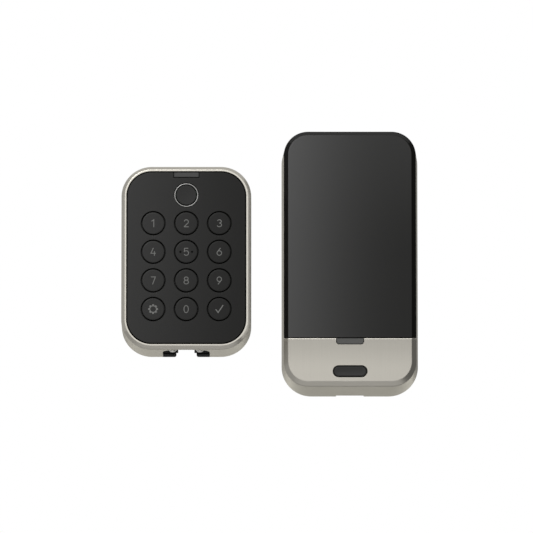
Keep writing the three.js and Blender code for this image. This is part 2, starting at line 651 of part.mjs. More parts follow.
function statusWindow() {
  const top = outsideHeight / 2 - faceInset - FIT;
  const bottom = top - WINDOW_HEIGHT;
  const half = LIGHT_PIPE_WIDTH / 2;
  const pane = box([-WINDOW_WIDTH / 2, WINDOW_WIDTH / 2], [faceBack, faceFront], [bottom, top]);
  const ledgeInside = outsideHeight / 2 - faceInset - LEDGE_WIDTH - FIT;
  const pipe = box([-half, half], [outsideBoardFront - FIT, faceBack + FIT],
    [bottom - LIGHT_PIPE_DROP, ledgeInside]);
  const neck = box([-half, half], [faceBack + FIT, faceBack - FIT], [bottom, ledgeInside]);
  return union([pane, neck, pipe]);
}

function keyMat() {
  const width = keyFieldWidth + 2 * MAT_MARGIN;
  const height = keyFieldHeight + 2 * MAT_MARGIN;
  const middle = (keyTopRowZ + keyBottomRowZ) / 2;
  const sheet = plate(roundedRect(width, height, MAT_CORNER, 0, middle, SMALL_CORNER_STEPS),
    matBack, matFront);
  const domeTop = keyFlangeBack - KEY_POCKET_DEPTH + KEY_TRAVEL + FIT;
  const domes = keys.map(({ centre }) =>
    rod(DOME_RADIUS, matFront + MAT_THICKNESS / 2, domeTop, centre));
  return union([sheet, ...domes]);
}

function outsideBoard() {
  const height = outsideBoardTop - outsideBoardBottom;
  const middle = (outsideBoardTop + outsideBoardBottom) / 2;
  const outline = roundedRect(outsideBoardWidth, height, BOARD_CORNER, 0, middle, SMALL_CORNER_STEPS);
  const bossRooms = outsideBossCentres.map((centre) =>
    rod(SCREW_BOSS_RADIUS + FIT, outsideBoardBack + OVERCUT,
      outsideBoardFront - OVERCUT, centre));
  return cut(plate(outline, outsideBoardBack, outsideBoardFront), bossRooms);
}

// A plug-in cable header on a board: its foot is at y = foot and its open mouth at y = mouth.
function connector(x, z, foot, mouth) {
  const middle = (foot + mouth) / 2;
  const past = 2 * mouth - foot;
  const span = (centre, size) => [centre - size / 2, centre + size / 2];
  const body = box(span(x, CONNECTOR_WIDTH), [foot, mouth], span(z, CONNECTOR_HEIGHT));
  return body.subtract(box(span(x, CONNECTOR_WIDTH - 2 * CONNECTOR_WALL), [middle, past],
    span(z, CONNECTOR_HEIGHT - 2 * CONNECTOR_WALL)));
}

function outsideConnector() {
  const foot = outsideBoardBack + FIT;
  return connector(0, OUTSIDE_BORE_Z, foot, foot + CONNECTOR_DEPTH);
}

function sounder() {
  const front = outsideBoardBack + FIT;
  const back = front + SOUNDER_DEPTH;
  const centre = [SOUNDER_X, outsideBoardBottom + SOUNDER_TO_BOARD_END];
  const port = rod(SOUNDER_PORT_RADIUS, back + OVERCUT, back - SOUNDER_DEPTH / 2, centre);
  return rod(SOUNDER_RADIUS, back, front, centre, ROUND_SIDES).subtract(port);
}

function backPlate() {
  const blockTop = underside + BLOCK_HEIGHT + FIT;
  const half = BAY_WIDTH / 2;
  const postHoles = [-1, 1].map((side) =>
    circle((side * BOLT_PITCH) / 2, OUTSIDE_BORE_Z, POST_RADIUS + FIT));
  const screwHoles = outsideBossCentres.map((centre) =>
    circle(...centre, SCREW_RADIUS + FIT, SMALL_SIDES));
  const cableHole = circle(0, OUTSIDE_BORE_Z, OUTSIDE_CABLE_HOLE_RADIUS);
  const body = plate(outsideOutline(OUTSIDE_WALL + FIT), outsidePlateBack, outsidePlateFront,
    [...postHoles, ...screwHoles, cableHole]);
  return body.subtract(box([-half, half], [0, outsidePlateFront - OVERCUT], [underside, blockTop]));
}

function backGasket() {
  const half = BAY_WIDTH / 2;
  const opening = circle(0, OUTSIDE_BORE_Z, GASKET_OPENING_RADIUS, 2 * ROUND_SIDES);
  const pad = plate(outsideOutline(OUTSIDE_WALL + FIT), 0, -GASKET_THICKNESS, [opening]);
  const headRooms = outsideBossCentres.map((centre) =>
    rod(SCREW_HEAD_RADIUS + FIT, OVERCUT, -GASKET_THICKNESS - OVERCUT, centre));
  const bayRoom = box([-half, half], [OVERCUT, -GASKET_THICKNESS - OVERCUT],
    [underside - OVERCUT, underside + BLOCK_HEIGHT + FIT]);
  return cut(pad, [...headRooms, bayRoom]);
}

// Two legs and two contact shelves under one bridge, with a channel between them.
function terminalBlock() {
  const body = upright(bayPlan(FIT), underside, underside + BLOCK_HEIGHT - FIT);
  const ceiling = underside + CHANNEL_HEIGHT;
  const halfWide = CHANNEL_WIDTH / 2;
  const halfNarrow = CHANNEL_NARROW_WIDTH / 2;
  const channelProfile = [
    [halfWide + LEG_CHAMFER, underside - OVERCUT], [halfWide + LEG_CHAMFER, underside],
    [halfWide, underside + LEG_CHAMFER], [halfWide, ceiling],
  ];
  const mirrored = [...channelProfile].reverse().map(([x, z]) => [-x, z]);
  const outline = [...channelProfile, ...mirrored].map(([x, z]) => new THREE.Vector2(x, z));
  const channel = plate(outline, OVERCUT, legFront);
  const throat = box([-halfNarrow, halfNarrow], [legFront + OVERCUT, outsideFront],
    [underside - OVERCUT, ceiling]);
  const shelf = box([-BAY_WIDTH, BAY_WIDTH], [legFront, outsideFront],
    [underside - OVERCUT, underside + SHELF_RECESS]);
  const stemHoles = [-1, 1].map((side) => terminalStem(side, TERMINAL_STEM_RADIUS + FIT,
    underside, terminalTop + FIT));
  return cut(body, [channel, throat, shelf, ...stemHoles]);
}

function terminalStem(side, radius, low, high) {
  const y = bayFront + TERMINAL_OFFSET;
  return upright(circle((side * TERMINAL_PITCH) / 2, y, radius, SMALL_SIDES), low, high);
}

function terminal(side) {
  const discBottom = underside + TERMINAL_RECESS;
  const discTop = underside + SHELF_RECESS - FIT;
  const disc = terminalStem(side, TERMINAL_RADIUS, discBottom, discTop);
  const stem = terminalStem(side, TERMINAL_STEM_RADIUS, discTop - FIT, terminalTop);
  return disc.add(stem);
}

// A threaded post for one through-bolt, open towards the door.
function mountingPost(side) {
  const threadEnd = postFront + POST_END_WALL;
  return turned([
    [POST_THREAD_RADIUS, outsideBack], [POST_RADIUS, outsideBack], [POST_RADIUS, postFront], [0, postFront],
    [0, threadEnd], [POST_THREAD_RADIUS, threadEnd], [POST_THREAD_RADIUS, outsideBack],
  ], [(side * BOLT_PITCH) / 2, OUTSIDE_BORE_Z]);
}

addPiece(outsideUnit, 'outside_housing', outsideHousing(), NICKEL);
addPiece(outsideUnit, 'face_plate', facePlate(), BLACK);
keys.forEach(({ name, centre }) => addPiece(outsideUnit, name, keyCap(centre), KEY_BLACK));
addPiece(outsideUnit, 'fingerprint_ring', fingerprintRing(), STEEL);
addPiece(outsideUnit, 'fingerprint_sensor', fingerprintSensor(), BLACK);
addPiece(outsideUnit, 'status_window', statusWindow(), SMOKE);
addPiece(outsideUnit, 'key_mat', keyMat(), RUBBER);
addPiece(outsideUnit, 'outside_board', outsideBoard(), BOARD);
addPiece(outsideUnit, 'outside_connector', outsideConnector(), NYLON);
addPiece(outsideUnit, 'sounder', sounder(), BLACK);
addPiece(outsideUnit, 'back_plate', backPlate(), STEEL);
addPiece(outsideUnit, 'back_gasket', backGasket(), RUBBER);
addPiece(outsideUnit, 'terminal_block', terminalBlock(), BLACK);
addPiece(outsideUnit, 'terminal_left', terminal(-1), STEEL);
addPiece(outsideUnit, 'terminal_right', terminal(1), STEEL);
addPiece(outsideUnit, 'mounting_post_left', mountingPost(-1), BRASS);
addPiece(outsideUnit, 'mounting_post_right', mountingPost(1), BRASS);
outsideBossCentres.forEach((centre, i) => addPiece(outsideUnit, `outside_screw_${i + 1}`,
  screw(centre, outsidePlateBack + FIT, OUTSIDE_SCREW_LENGTH, -1), STEEL));

// ---- inside unit ----
const insideBoss = cornerBosses(insideWidth, insideHeight, INSIDE_CORNER, INSIDE_WALL);
const insideBossCentres = [-1, 1].map((side) => [side * insideBoss.x, insideMiddle - insideBoss.z]);
const plateScrewCentres = [-1, 1].map((side) =>
  [side * (plateWidth / 2 - PLATE_SCREW_INSET), plateBottom + PLATE_SCREW_RISE]);
const buttonPostCentres = [[-BUTTON_POST_X, buttonZ], [BUTTON_POST_X, buttonZ]];
const boltCentres = [[-BOLT_PITCH / 2, BORE_Z], [BOLT_PITCH / 2, BORE_Z]];
const standoffCentres = [-1, 1].flatMap((side) =>
  [insideBoardTop - STANDOFF_TO_BOARD_TOP, insideBoardBottom + STANDOFF_TO_BOARD_END]
    .map((z) => [side * STANDOFF_X, z]));
const coverBottom = seamZ + SEAM_GAP;
const acrossUnit = [-insideWidth, insideWidth];

const buttonFlangeFront = skinBack + FIT;
const buttonFlangeBack = buttonFlangeFront + BUTTON_FLANGE_THICKNESS;
const plungerTip = buttonFlangeBack + BUTTON_TRAVEL + FIT;
const switchFront = plungerTip + PLUNGER_HEIGHT;
const switchBack = switchFront + SWITCH_HEIGHT;
const buttonBoardFront = switchBack + FIT;
const buttonBoardBack = buttonBoardFront + BUTTON_BOARD_THICKNESS;

function insideHousing() {
  const outer = stack([
    [insideBack, insideOutline(insideBack, 0)],
    ...roundedEdge(frontOutline, insideFront, INSIDE_EDGE),
  ]);
  const cavity = stack([
    [OVERCUT, insideOutline(OVERCUT, INSIDE_WALL)], [skinBack, insideOutline(skinBack, INSIDE_WALL)],
  ]);
  const top = insideTop + OVERCUT;
  const coverRoom = box(acrossUnit, [edgeBack + FIT, insideFront - OVERCUT], [seamZ, top]);
  const topRoom = box(acrossUnit, [topSkirtBack + FIT, insideFront - OVERCUT], [topStepZ, top]);
  const latchRoom = plate(latchOutline(LATCH_GAP), skinBack + OVERCUT, insideFront - OVERCUT);
  const buttonHole = plate(pill(BUTTON_WIDTH + 2 * BUTTON_GAP, BUTTON_HEIGHT + 2 * BUTTON_GAP, buttonZ),
    skinBack + OVERCUT, insideFront - OVERCUT);
  const doorNotch = box([-NOTCH_WIDTH / 2, NOTCH_WIDTH / 2], [OVERCUT, insideBack - NOTCH_DEPTH],
    [insideBottom - OVERCUT, insideBottom + NOTCH_HEIGHT]);
  const bosses = insideBossCentres.map((centre) =>
    rod(SCREW_BOSS_RADIUS, chassisFront - FIT, skinBack - INSIDE_WALL / 4, centre));
  const screwHoles = insideBossCentres.map((centre) =>
    rod(SCREW_RADIUS + FIT, 0, chassisBack - CHASSIS_SCREW_LENGTH, centre));
  const lugs = [-1, 1].map((side) => box(
    [side * LUG_X - LUG_WIDTH / 2, side * LUG_X + LUG_WIDTH / 2],
    [chassisFront - FIT, chassisFront - FIT - LUG_DEPTH],
    [trayTop + TRAY_WALL + FIT, insideTop - INSIDE_WALL / 2]));
  const shell = cut(outer, [cavity, coverRoom, topRoom, latchRoom, buttonHole, doorNotch, seamChamfer()]);
  return cut(union([shell, ...bosses, ...lugs]), screwHoles);
}

// A square bar on edge along the chin's front top edge, which leaves a 45 degree chamfer.
function seamChamfer() {
  const side = SEAM_CHAMFER * Math.SQRT2;
  const geometry = new THREE.BoxGeometry(2 * insideWidth, side, side);
  geometry.rotateX(Math.PI / 4);
  geometry.translate(0, insideFront, seamZ);
  return solid(geometry);
}

// The latch tab's outline, mirrored about its top edge so that only its lower corners are rounded.
function latchOutline(gap) {
  return roundedRect(LATCH_WIDTH + 2 * gap, 2 * (LATCH_HEIGHT + gap), LATCH_CORNER + gap, 0, seamZ);
}

function coverLatch() {
  const flangeFront = skinBack + FIT;
  const flangeBack = flangeFront + LATCH_FLANGE_THICKNESS;
  const half = LATCH_FLANGE_WIDTH / 2;
  const bottom = seamZ - LATCH_HEIGHT;
  const tab = plate(latchOutline(0), flangeBack, insideFront + LATCH_RECESS)
    .subtract(box(acrossUnit, [0, insideFront - OVERCUT], [seamZ, 0]));
  const flange = box([-half, half], [flangeBack, flangeFront], [bottom - LATCH_FLANGE_DROP, seamZ]);
  const nose = box([-LATCH_NOSE_WIDTH / 2, LATCH_NOSE_WIDTH / 2],
    [flangeBack, coverSkinBack + FIT], [bottom, seamZ + LATCH_NOSE_RISE]);
  return union([tab, flange, nose]);
}

function batteryCover() {
  const outer = stack([
    [topSkirtBack, insideOutline(topSkirtBack, 0)],
    ...roundedEdge(frontOutline, insideFront, INSIDE_EDGE),
  ]);
  const hollow = plate(frontOutline(INSIDE_WALL), 0, coverSkinBack);
  const below = box(acrossUnit, [0, insideFront - OVERCUT], [insideBottom - OVERCUT, coverBottom]);
  const sides = box(acrossUnit, [0, edgeBack], [insideBottom - OVERCUT, topStepZ + FIT]);
  const railOut = frontWidth / 2 - INSIDE_WALL - FIT;
  const fused = coverSkinBack - COVER_SKIN / 3;
  const pairs = [-1, 1].flatMap((side) => [
    box([side * railOut, side * (railOut - COVER_RAIL_THICKNESS)],
      [coverSkinBack + COVER_RAIL_DEPTH, fused], [coverBottom + COVER_RAIL_MARGIN, topStepZ]),
    box([side * COVER_TONGUE_X - COVER_TONGUE_WIDTH / 2, side * COVER_TONGUE_X + COVER_TONGUE_WIDTH / 2],
      [tongueBack, fused], [coverBottom, coverBottom + COVER_LIP_HEIGHT]),
    box([side * COVER_TONGUE_X - COVER_TONGUE_WIDTH / 2, side * COVER_TONGUE_X + COVER_TONGUE_WIDTH / 2],
      [tongueBack, tongueFront], [coverBottom - COVER_TONGUE_LENGTH, coverBottom + COVER_LIP_HEIGHT / 2]),
  ]);
  return union([cut(outer, [hollow, below, sides]), ...pairs]);
}

function lockButton() {
  const hole = [BUTTON_WIDTH + 2 * BUTTON_GAP, BUTTON_HEIGHT + 2 * BUTTON_GAP];
  const flange = pill(hole[0] + 2 * BUTTON_FLANGE_LIP, hole[1] + 2 * BUTTON_FLANGE_LIP, buttonZ);
  const cap = plate(pill(BUTTON_WIDTH, BUTTON_HEIGHT, buttonZ), buttonFlangeBack, insideFront);
  return cap.add(plate(flange, buttonFlangeBack, buttonFlangeFront));
}

function buttonSwitch() {
  const half = SWITCH_SIZE / 2;
  const body = box([-half, half], [switchBack, switchFront], [buttonZ - half, buttonZ + half]);
  return body.add(rod(PLUNGER_RADIUS, switchFront + FIT, plungerTip, [0, buttonZ]));
}

function buttonBoard() {
  const outline = roundedRect(BUTTON_BOARD_WIDTH, BUTTON_BOARD_HEIGHT, BOARD_CORNER / 2, 0,
    buttonZ, SMALL_CORNER_STEPS);
  return plate(outline, buttonBoardBack, buttonBoardFront);
}

function mountingPlate() {
  const height = plateTop - plateBottom;
  const outline = roundedRect(plateWidth, height, PLATE_CORNER, 0, (plateTop + plateBottom) / 2);
  const slots = boltCentres.map(([x, z]) =>
    roundedRect(BOLT_SLOT_WIDTH, BOLT_SLOT_LENGTH, BOLT_SLOT_WIDTH / 2, x, z, SMALL_CORNER_STEPS));
  const screwHoles = plateScrewCentres.map((centre) => circle(...centre, SCREW_RADIUS + FIT, SMALL_SIDES));
  const hubHole = circle(...spindleCentre, HUB_RADIUS + 2 * FIT);
  return plate(outline, 0, plateFront, [hubHole, cableSlot(), ...slots, ...screwHoles]);
}

function cableSlot() {
  return roundedRect(CABLE_SLOT_WIDTH, CABLE_SLOT_HEIGHT, CABLE_SLOT_HEIGHT / 2, 0,
    BORE_Z - CABLE_SLOT_DROP, SMALL_CORNER_STEPS);
}

function chassisPlate() {
  const screwCentres = [...insideBossCentres, ...plateScrewCentres];
  const holes = [
    circle(...spindleCentre, HUB_RADIUS + RUNNING_FIT), cableSlot(),
    ...boltCentres.map((centre) => circle(...centre, BOLT_HEAD_CLEARANCE)),
    ...screwCentres.map((centre) => circle(...centre, SCREW_RADIUS + FIT, SMALL_SIDES)),
  ];
  const base = plate(insideOutline(chassisFront, INSIDE_WALL + FIT), chassisBack, chassisFront, holes);
  const foot = chassisFront + CHASSIS_THICKNESS / 2;
  const cupInside = MOTOR_RADIUS + FIT;
  const cup = rod(cupInside + MOTOR_CUP_WALL, foot, chassisFront - MOTOR_CUP_DEPTH, motorCentre, ROUND_SIDES)
    .subtract(rod(cupInside, chassisFront, insideFront, motorCentre, ROUND_SIDES));
  const idlerBoss = rod(IDLER_BOSS_RADIUS, foot, spindleGearBack + FIT, idlerCentre)
    .subtract(rod(IDLER_PIN_RADIUS + FIT, chassisFront - FIT, insideFront, idlerCentre));
  const standoffs = standoffCentres.map((centre) =>
    rod(STANDOFF_RADIUS, foot, insideBoardBack + FIT, centre));
  const posts = buttonPostCentres.map((centre) =>
    rod(BUTTON_POST_RADIUS, foot, buttonBoardBack + FIT, centre));
  return union([base, cup, idlerBoss, ...standoffs, ...posts]);
}

function insideBoard() {
  const height = insideBoardTop - insideBoardBottom;
  const middle = (insideBoardTop + insideBoardBottom) / 2;
  const outline = roundedRect(INSIDE_BOARD_WIDTH, height, BOARD_CORNER, 0, middle, SMALL_CORNER_STEPS);
  const rooms = [
    [HUB_RADIUS + HUB_BOARD_GAP, spindleCentre],
    [MOTOR_RADIUS + MOTOR_CUP_WALL + 2 * FIT, motorCentre],
    [IDLER_BOSS_RADIUS + FIT, idlerCentre],
  ].map(([radius, centre]) => rod(radius, 0, insideFront, centre, ROUND_SIDES));
  return cut(plate(outline, insideBoardBack, insideBoardFront), rooms);
}

function insideConnector() {
  const foot = insideBoardFront - FIT;
  return connector(INSIDE_CONNECTOR_X, insideBoardBottom + CONNECTOR_TO_BOARD_END,
    foot, foot - CONNECTOR_DEPTH);
}

// ---- inside unit: gear train ----
const spindlePhase = 0;
const idlerWheelPhase = 0;
const idlerPinionPhase =
  meshPhase(SPINDLE_TEETH, spindlePhase, spindleCentre, IDLER_PINION_TEETH, idlerCentre);
const motorPinionPhase =
  meshPhase(IDLER_WHEEL_TEETH, idlerWheelPhase, idlerCentre, MOTOR_PINION_TEETH, motorCentre);

function spindleGear() {
  const gear = plate(gearOutline(SPINDLE_TEETH, spindleCentre, spindlePhase),
    spindleGearBack, spindleGearFront);
  const hub = rod(HUB_RADIUS, -HUB_DOOR_CLEARANCE, spindleGearBack - FIT, spindleCentre, ROUND_SIDES);
  const stub = rod(STUB_RADIUS, spindleGearFront + FIT, deckFront + FIT / 2, spindleCentre, ROUND_SIDES);
  const half = SOCKET_SIZE / 2;
  const socket = box([-half, half], [OVERCUT, -HUB_DOOR_CLEARANCE - SOCKET_DEPTH],
    [BORE_Z - half, BORE_Z + half]);
  return union([gear, hub, stub]).subtract(socket);
}

function idlerGear() {
  const wheel = plate(gearOutline(IDLER_WHEEL_TEETH, idlerCentre, idlerWheelPhase),
    wheelBack, wheelFront);
  const pinion = plate(gearOutline(IDLER_PINION_TEETH, idlerCentre, idlerPinionPhase),
    spindleGearBack, wheelBack - FIT);
  return wheel.add(pinion).subtract(rod(IDLER_PIN_RADIUS + RUNNING_FIT, 0, insideFront, idlerCentre));
}

function idlerPin() {
  return rod(IDLER_PIN_RADIUS, chassisFront - 2 * FIT, deckFront + FIT / 2, idlerCentre);
}

function motorPinion() {
  const teeth = plate(gearOutline(MOTOR_PINION_TEETH, motorCentre, motorPinionPhase), wheelBack, wheelFront);
  return teeth.add(rod(MOTOR_SHAFT_RADIUS, motorFront + MOTOR_SHAFT_DEPTH, wheelBack - FIT, motorCentre));
}

function driveMotor() {
  const shaftRoom = rod(MOTOR_SHAFT_RADIUS + FIT, motorFront + MOTOR_SHAFT_DEPTH + FIT,
    motorFront - OVERCUT, motorCentre);
  return rod(MOTOR_RADIUS, motorBack, motorFront, motorCentre, ROUND_SIDES).subtract(shaftRoom);
}

function gearDeck() {
  const height = deckTop - deckBottom;
  const middle = (deckTop + deckBottom) / 2;
  const outline = roundedRect(deckWidth, height, DECK_CORNER, 0, middle, SMALL_CORNER_STEPS);
  const holes = [
    circle(...spindleCentre, STUB_RADIUS + RUNNING_FIT),
    circle(...idlerCentre, IDLER_PIN_RADIUS + FIT, SMALL_SIDES),
  ];
  const postX = deckWidth / 2 - DECK_POST_INSET;
  const postZ = height / 2 - DECK_POST_INSET;
  const posts = [[-postX, -postZ], [postX, -postZ], [-postX, postZ], [postX, postZ]].map(([x, z]) =>
    rod(DECK_POST_RADIUS, chassisFront - FIT, deckBack - DECK_THICKNESS / 2, [x, middle + z]));
  return union([plate(outline, deckBack, deckFront, holes), ...posts]);
}

// ---- inside unit: batteries ----
const cellCentres = Array.from({ length: CELL_COUNT }, (_, i) => (i - (CELL_COUNT - 1) / 2) * cellPitch);

// A turned piece about a vertical axis through (x, y); the profile is a list of [radius, z].
function turnedUp(profile, x, y, sides) {
  const points = profile.map(([radius, z]) => new THREE.Vector2(radius, z));
  const geometry = new THREE.LatheGeometry(points, sides);
  geometry.rotateX(Math.PI / 2);
  geometry.translate(x, y, 0);
  return solid(geometry);
}

function batteryCell(x, flip) {
  const shoulder = CELL_LENGTH - CELL_NUB_HEIGHT;
  const profile = [
    [0, 0], [CELL_RADIUS, 0], [CELL_RADIUS, shoulder],
    [CELL_NUB_RADIUS, shoulder], [CELL_NUB_RADIUS, CELL_LENGTH], [0, CELL_LENGTH],
  ].map(([radius, height]) => [radius, flip ? cellTop - height : cellBottom + height]);
  return turnedUp(profile, x, cellY, CELL_SIDES);
}

// A contact strip across the ends of one or two cells; each end is [x, is it a spring].
function contact(ends, plateZ, tipZ) {
  const half = cellPitch / 2 - FIT - RIB_WIDTH / 2;
  const xs = ends.map(([x]) => x);
  const outward = Math.sign(plateZ - tipZ) * CONTACT_THICKNESS;
  const strip = box([Math.min(...xs) - half, Math.max(...xs) + half],
    [cellY - CONTACT_HEIGHT / 2, cellY + CONTACT_HEIGHT / 2], [plateZ, plateZ + outward])
    .intersect(insideRoom(2 * FIT));
  const rises = ends.map(([x, spring]) => turnedUp([
    [0, plateZ + outward / 2], [spring ? SPRING_BASE_RADIUS : DIMPLE_BASE_RADIUS, plateZ + outward / 2],
    [spring ? SPRING_TIP_RADIUS : DIMPLE_TIP_RADIUS, tipZ], [0, tipZ],
  ], x, cellY, SMALL_SIDES));
  return union([strip, ...rises]);
}

// The space within the inside unit's drafted walls, less a clearance.
function insideRoom(clearance) {
  return stack([
    [chassisFront, insideOutline(chassisFront, INSIDE_WALL + clearance)],
    [edgeBack, insideOutline(edgeBack, INSIDE_WALL + clearance)],
  ]);
}

function batteryTray() {
  const front = cellFront + TRAY_TO_CELL_FRONT;
  const halfPocket = cellCentres.at(-1) + CELL_RADIUS + FIT;
  const half = halfPocket + TRAY_WALL;
  const floor = trayBack - TRAY_FLOOR;
  const outer = box([-half, half], [trayBack, front], [trayBottom, trayTop + TRAY_WALL])
    .intersect(insideRoom(FIT));
  const pocket = box([-halfPocket, halfPocket], [floor, front - OVERCUT], [trayBottom + TRAY_WALL, trayTop]);
  const ribs = cellCentres.slice(1).map((x) => box(
    [x - cellPitch / 2 - RIB_WIDTH / 2, x - cellPitch / 2 + RIB_WIDTH / 2],
    [floor + TRAY_FLOOR / 2, floor - RIB_HEIGHT], [cellBottom + RIB_END_MARGIN, cellTop - RIB_END_MARGIN]));
  return union([outer.subtract(pocket), ...ribs]);
}

addPiece(insideUnit, 'inside_housing', insideHousing(), NICKEL);
addPiece(insideUnit, 'battery_cover', batteryCover(), BLACK);
addPiece(insideUnit, 'cover_latch', coverLatch(), SMOKE);
addPiece(insideUnit, 'lock_button', lockButton(), KEY_BLACK);
addPiece(insideUnit, 'button_switch', buttonSwitch(), BLACK);
addPiece(insideUnit, 'button_board', buttonBoard(), BOARD);
addPiece(insideUnit, 'mounting_plate', mountingPlate(), STEEL);
addPiece(insideUnit, 'chassis_plate', chassisPlate(), BLACK);
addPiece(insideUnit, 'inside_board', insideBoard(), BOARD);
addPiece(insideUnit, 'inside_connector', insideConnector(), NYLON);
addPiece(insideUnit, 'spindle_gear', spindleGear(), STEEL);
addPiece(insideUnit, 'idler_gear', idlerGear(), NYLON);
addPiece(insideUnit, 'idler_pin', idlerPin(), STEEL);
addPiece(insideUnit, 'motor_pinion', motorPinion(), BRASS);
addPiece(insideUnit, 'drive_motor', driveMotor(), STEEL);
addPiece(insideUnit, 'gear_deck', gearDeck(), BLACK);
addPiece(insideUnit, 'battery_tray', batteryTray(), BLACK);
cellCentres.forEach((x, i) =>
  addPiece(insideUnit, `battery_cell_${i + 1}`, batteryCell(x, i % 2 === 1), CELL_WRAP));

const bottomPlateZ = cellBottom - FIT - CONTACT_RISE;
const topPlateZ = cellTop + FIT + CONTACT_RISE;
const contactStrips = [
  ['contact_top_left', [0, 1], topPlateZ, cellTop + FIT],
  ['contact_top_right', [2, 3], topPlateZ, cellTop + FIT],
  ['contact_bottom_left', [0], bottomPlateZ, cellBottom - FIT],
  ['contact_bottom_middle', [1, 2], bottomPlateZ, cellBottom - FIT],
  ['contact_bottom_right', [3], bottomPlateZ, cellBottom - FIT],
];
for (const [name, cells, plateZ, tipZ] of contactStrips) {
  const ends = cells.map((i) => [cellCentres[i], (i % 2 === 1) === (plateZ > cellTop)]);
  addPiece(insideUnit, name, contact(ends, plateZ, tipZ), STEEL);
}
insideBossCentres.forEach((centre, i) => addPiece(insideUnit, `chassis_screw_${i + 1}`,
  screw(centre, chassisBack + FIT, CHASSIS_SCREW_LENGTH, -1), STEEL));
plateScrewCentres.forEach((centre, i) => addPiece(insideUnit, `plate_screw_${i + 1}`,
  screw(centre, chassisFront - FIT, PLATE_SCREW_LENGTH, 1), STEEL));

export default new THREE.Group().add(outsideUnit, insideUnit);
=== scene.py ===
import json
import math

import bmesh
import bpy
from mathutils import Matrix, Vector


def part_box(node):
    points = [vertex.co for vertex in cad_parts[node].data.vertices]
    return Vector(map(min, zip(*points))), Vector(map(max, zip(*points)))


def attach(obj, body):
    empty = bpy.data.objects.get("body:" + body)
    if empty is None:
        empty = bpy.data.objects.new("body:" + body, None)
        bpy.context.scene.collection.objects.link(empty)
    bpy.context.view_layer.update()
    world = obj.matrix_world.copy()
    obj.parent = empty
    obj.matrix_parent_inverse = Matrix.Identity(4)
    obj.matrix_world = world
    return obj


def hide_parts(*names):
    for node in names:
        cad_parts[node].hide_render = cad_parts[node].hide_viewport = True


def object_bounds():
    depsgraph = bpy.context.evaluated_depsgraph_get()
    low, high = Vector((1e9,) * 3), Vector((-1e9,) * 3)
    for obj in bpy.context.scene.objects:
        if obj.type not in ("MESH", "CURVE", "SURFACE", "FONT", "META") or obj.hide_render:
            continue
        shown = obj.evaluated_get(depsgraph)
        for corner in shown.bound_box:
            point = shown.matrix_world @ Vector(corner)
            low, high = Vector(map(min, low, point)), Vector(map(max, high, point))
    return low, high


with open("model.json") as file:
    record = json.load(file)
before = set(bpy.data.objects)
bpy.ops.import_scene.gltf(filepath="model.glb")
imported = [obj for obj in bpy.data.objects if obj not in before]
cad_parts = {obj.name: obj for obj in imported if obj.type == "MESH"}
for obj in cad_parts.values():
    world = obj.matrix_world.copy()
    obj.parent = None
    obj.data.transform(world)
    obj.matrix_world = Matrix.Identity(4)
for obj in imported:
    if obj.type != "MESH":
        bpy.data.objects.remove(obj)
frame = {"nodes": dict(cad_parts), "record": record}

CAD_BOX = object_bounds()
RECORD = frame["record"]
BODY_OF = {node: body for body, nodes in RECORD["behaviour"]["bodies"].items() for node in nodes}
SLOT_OF = {part["node"]: part["material_slot"] for part in RECORD["subparts"]}

# All lengths below are in millimetres, in the frame's own axes: X right, Y back into the door, Z up.
# A pair of corners is always the lowest and the highest, so a piece's front is its lowest Y.
MM = 0.001


def extent(node):
    """Lowest and highest corner of a node, in millimetres."""
    low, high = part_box(node)
    return low / MM, high / MM


def centre_of(node):
    """A node's middle in X and Z."""
    low, high = extent(node)
    return (low.x + high.x) / 2, (low.z + high.z) / 2


# ---- sizes that several pieces share ----
FIT = 0.3  # the clearance between pieces that meet
SCREW_RADIUS, SCREW_HEAD, BOSS_RADIUS = 1.4, 2.5, 3.0
SCREW_HOLE = SCREW_RADIUS + FIT
POST_X = 19.05  # the mounting posts and bolts, to each side of the middle

# the outside unit, with its terminal bay, keys and face plate
OUTSIDE_LOW, OUTSIDE_HIGH = extent("outside_housing")
OUTSIDE_X = (OUTSIDE_LOW.x + OUTSIDE_HIGH.x) / 2
OUTSIDE_WIDTH = OUTSIDE_HIGH.x - OUTSIDE_LOW.x
OUTSIDE_HEIGHT = OUTSIDE_HIGH.z - OUTSIDE_LOW.z
OUTSIDE_FRONT, OUTSIDE_BACK = OUTSIDE_LOW.y, OUTSIDE_HIGH.y
UNDERSIDE, OUTSIDE_TOP = OUTSIDE_LOW.z, OUTSIDE_HIGH.z
OUTSIDE_CORNER, OUTSIDE_EDGE, OUTSIDE_WALL = 15.3, 1.65, 2.2
FACE_INSET, FACE_GAP = 2.5, 0.5
FACE_FRONT, FACE_BACK = (corner.y for corner in extent("face_plate"))
LEDGE_FRONT, LEDGE_BACK, LEDGE_WIDTH = FACE_BACK + FIT, FACE_BACK + 1.7, 1.6
PLATE_FRONT, PLATE_BACK = (corner.y for corner in extent("back_plate"))
OUTSIDE_BOSSES = ((OUTSIDE_X - 24.77, 38.77), (OUTSIDE_X + 24.77, -38.77))
KEY_NODES = ["key_" + name for name in "1 2 3 4 5 6 7 8 9 settings 0 enter".split()]
MIDDLE_KEY = "key_5"
KEY_RADIUS, KEY_GAP = 5.7, 0.5
RING_INNER, RING_OUTER = 5.58, 5.95
BAY_WIDTH, BAY_ARCH, BLOCK_HEIGHT = 23.7, 9.0, 9.0
BAY_FRONT = OUTSIDE_FRONT + 3.0
LEG_FRONT = OUTSIDE_FRONT + 16.9
TERMINAL_X, TERMINAL_Y = 6.9, OUTSIDE_FRONT + 9.6
TERMINAL_STEM, TERMINAL_DISC = 1.0, 2.6
BORE_Z = extent("outside_connector")[0].z + 3.0

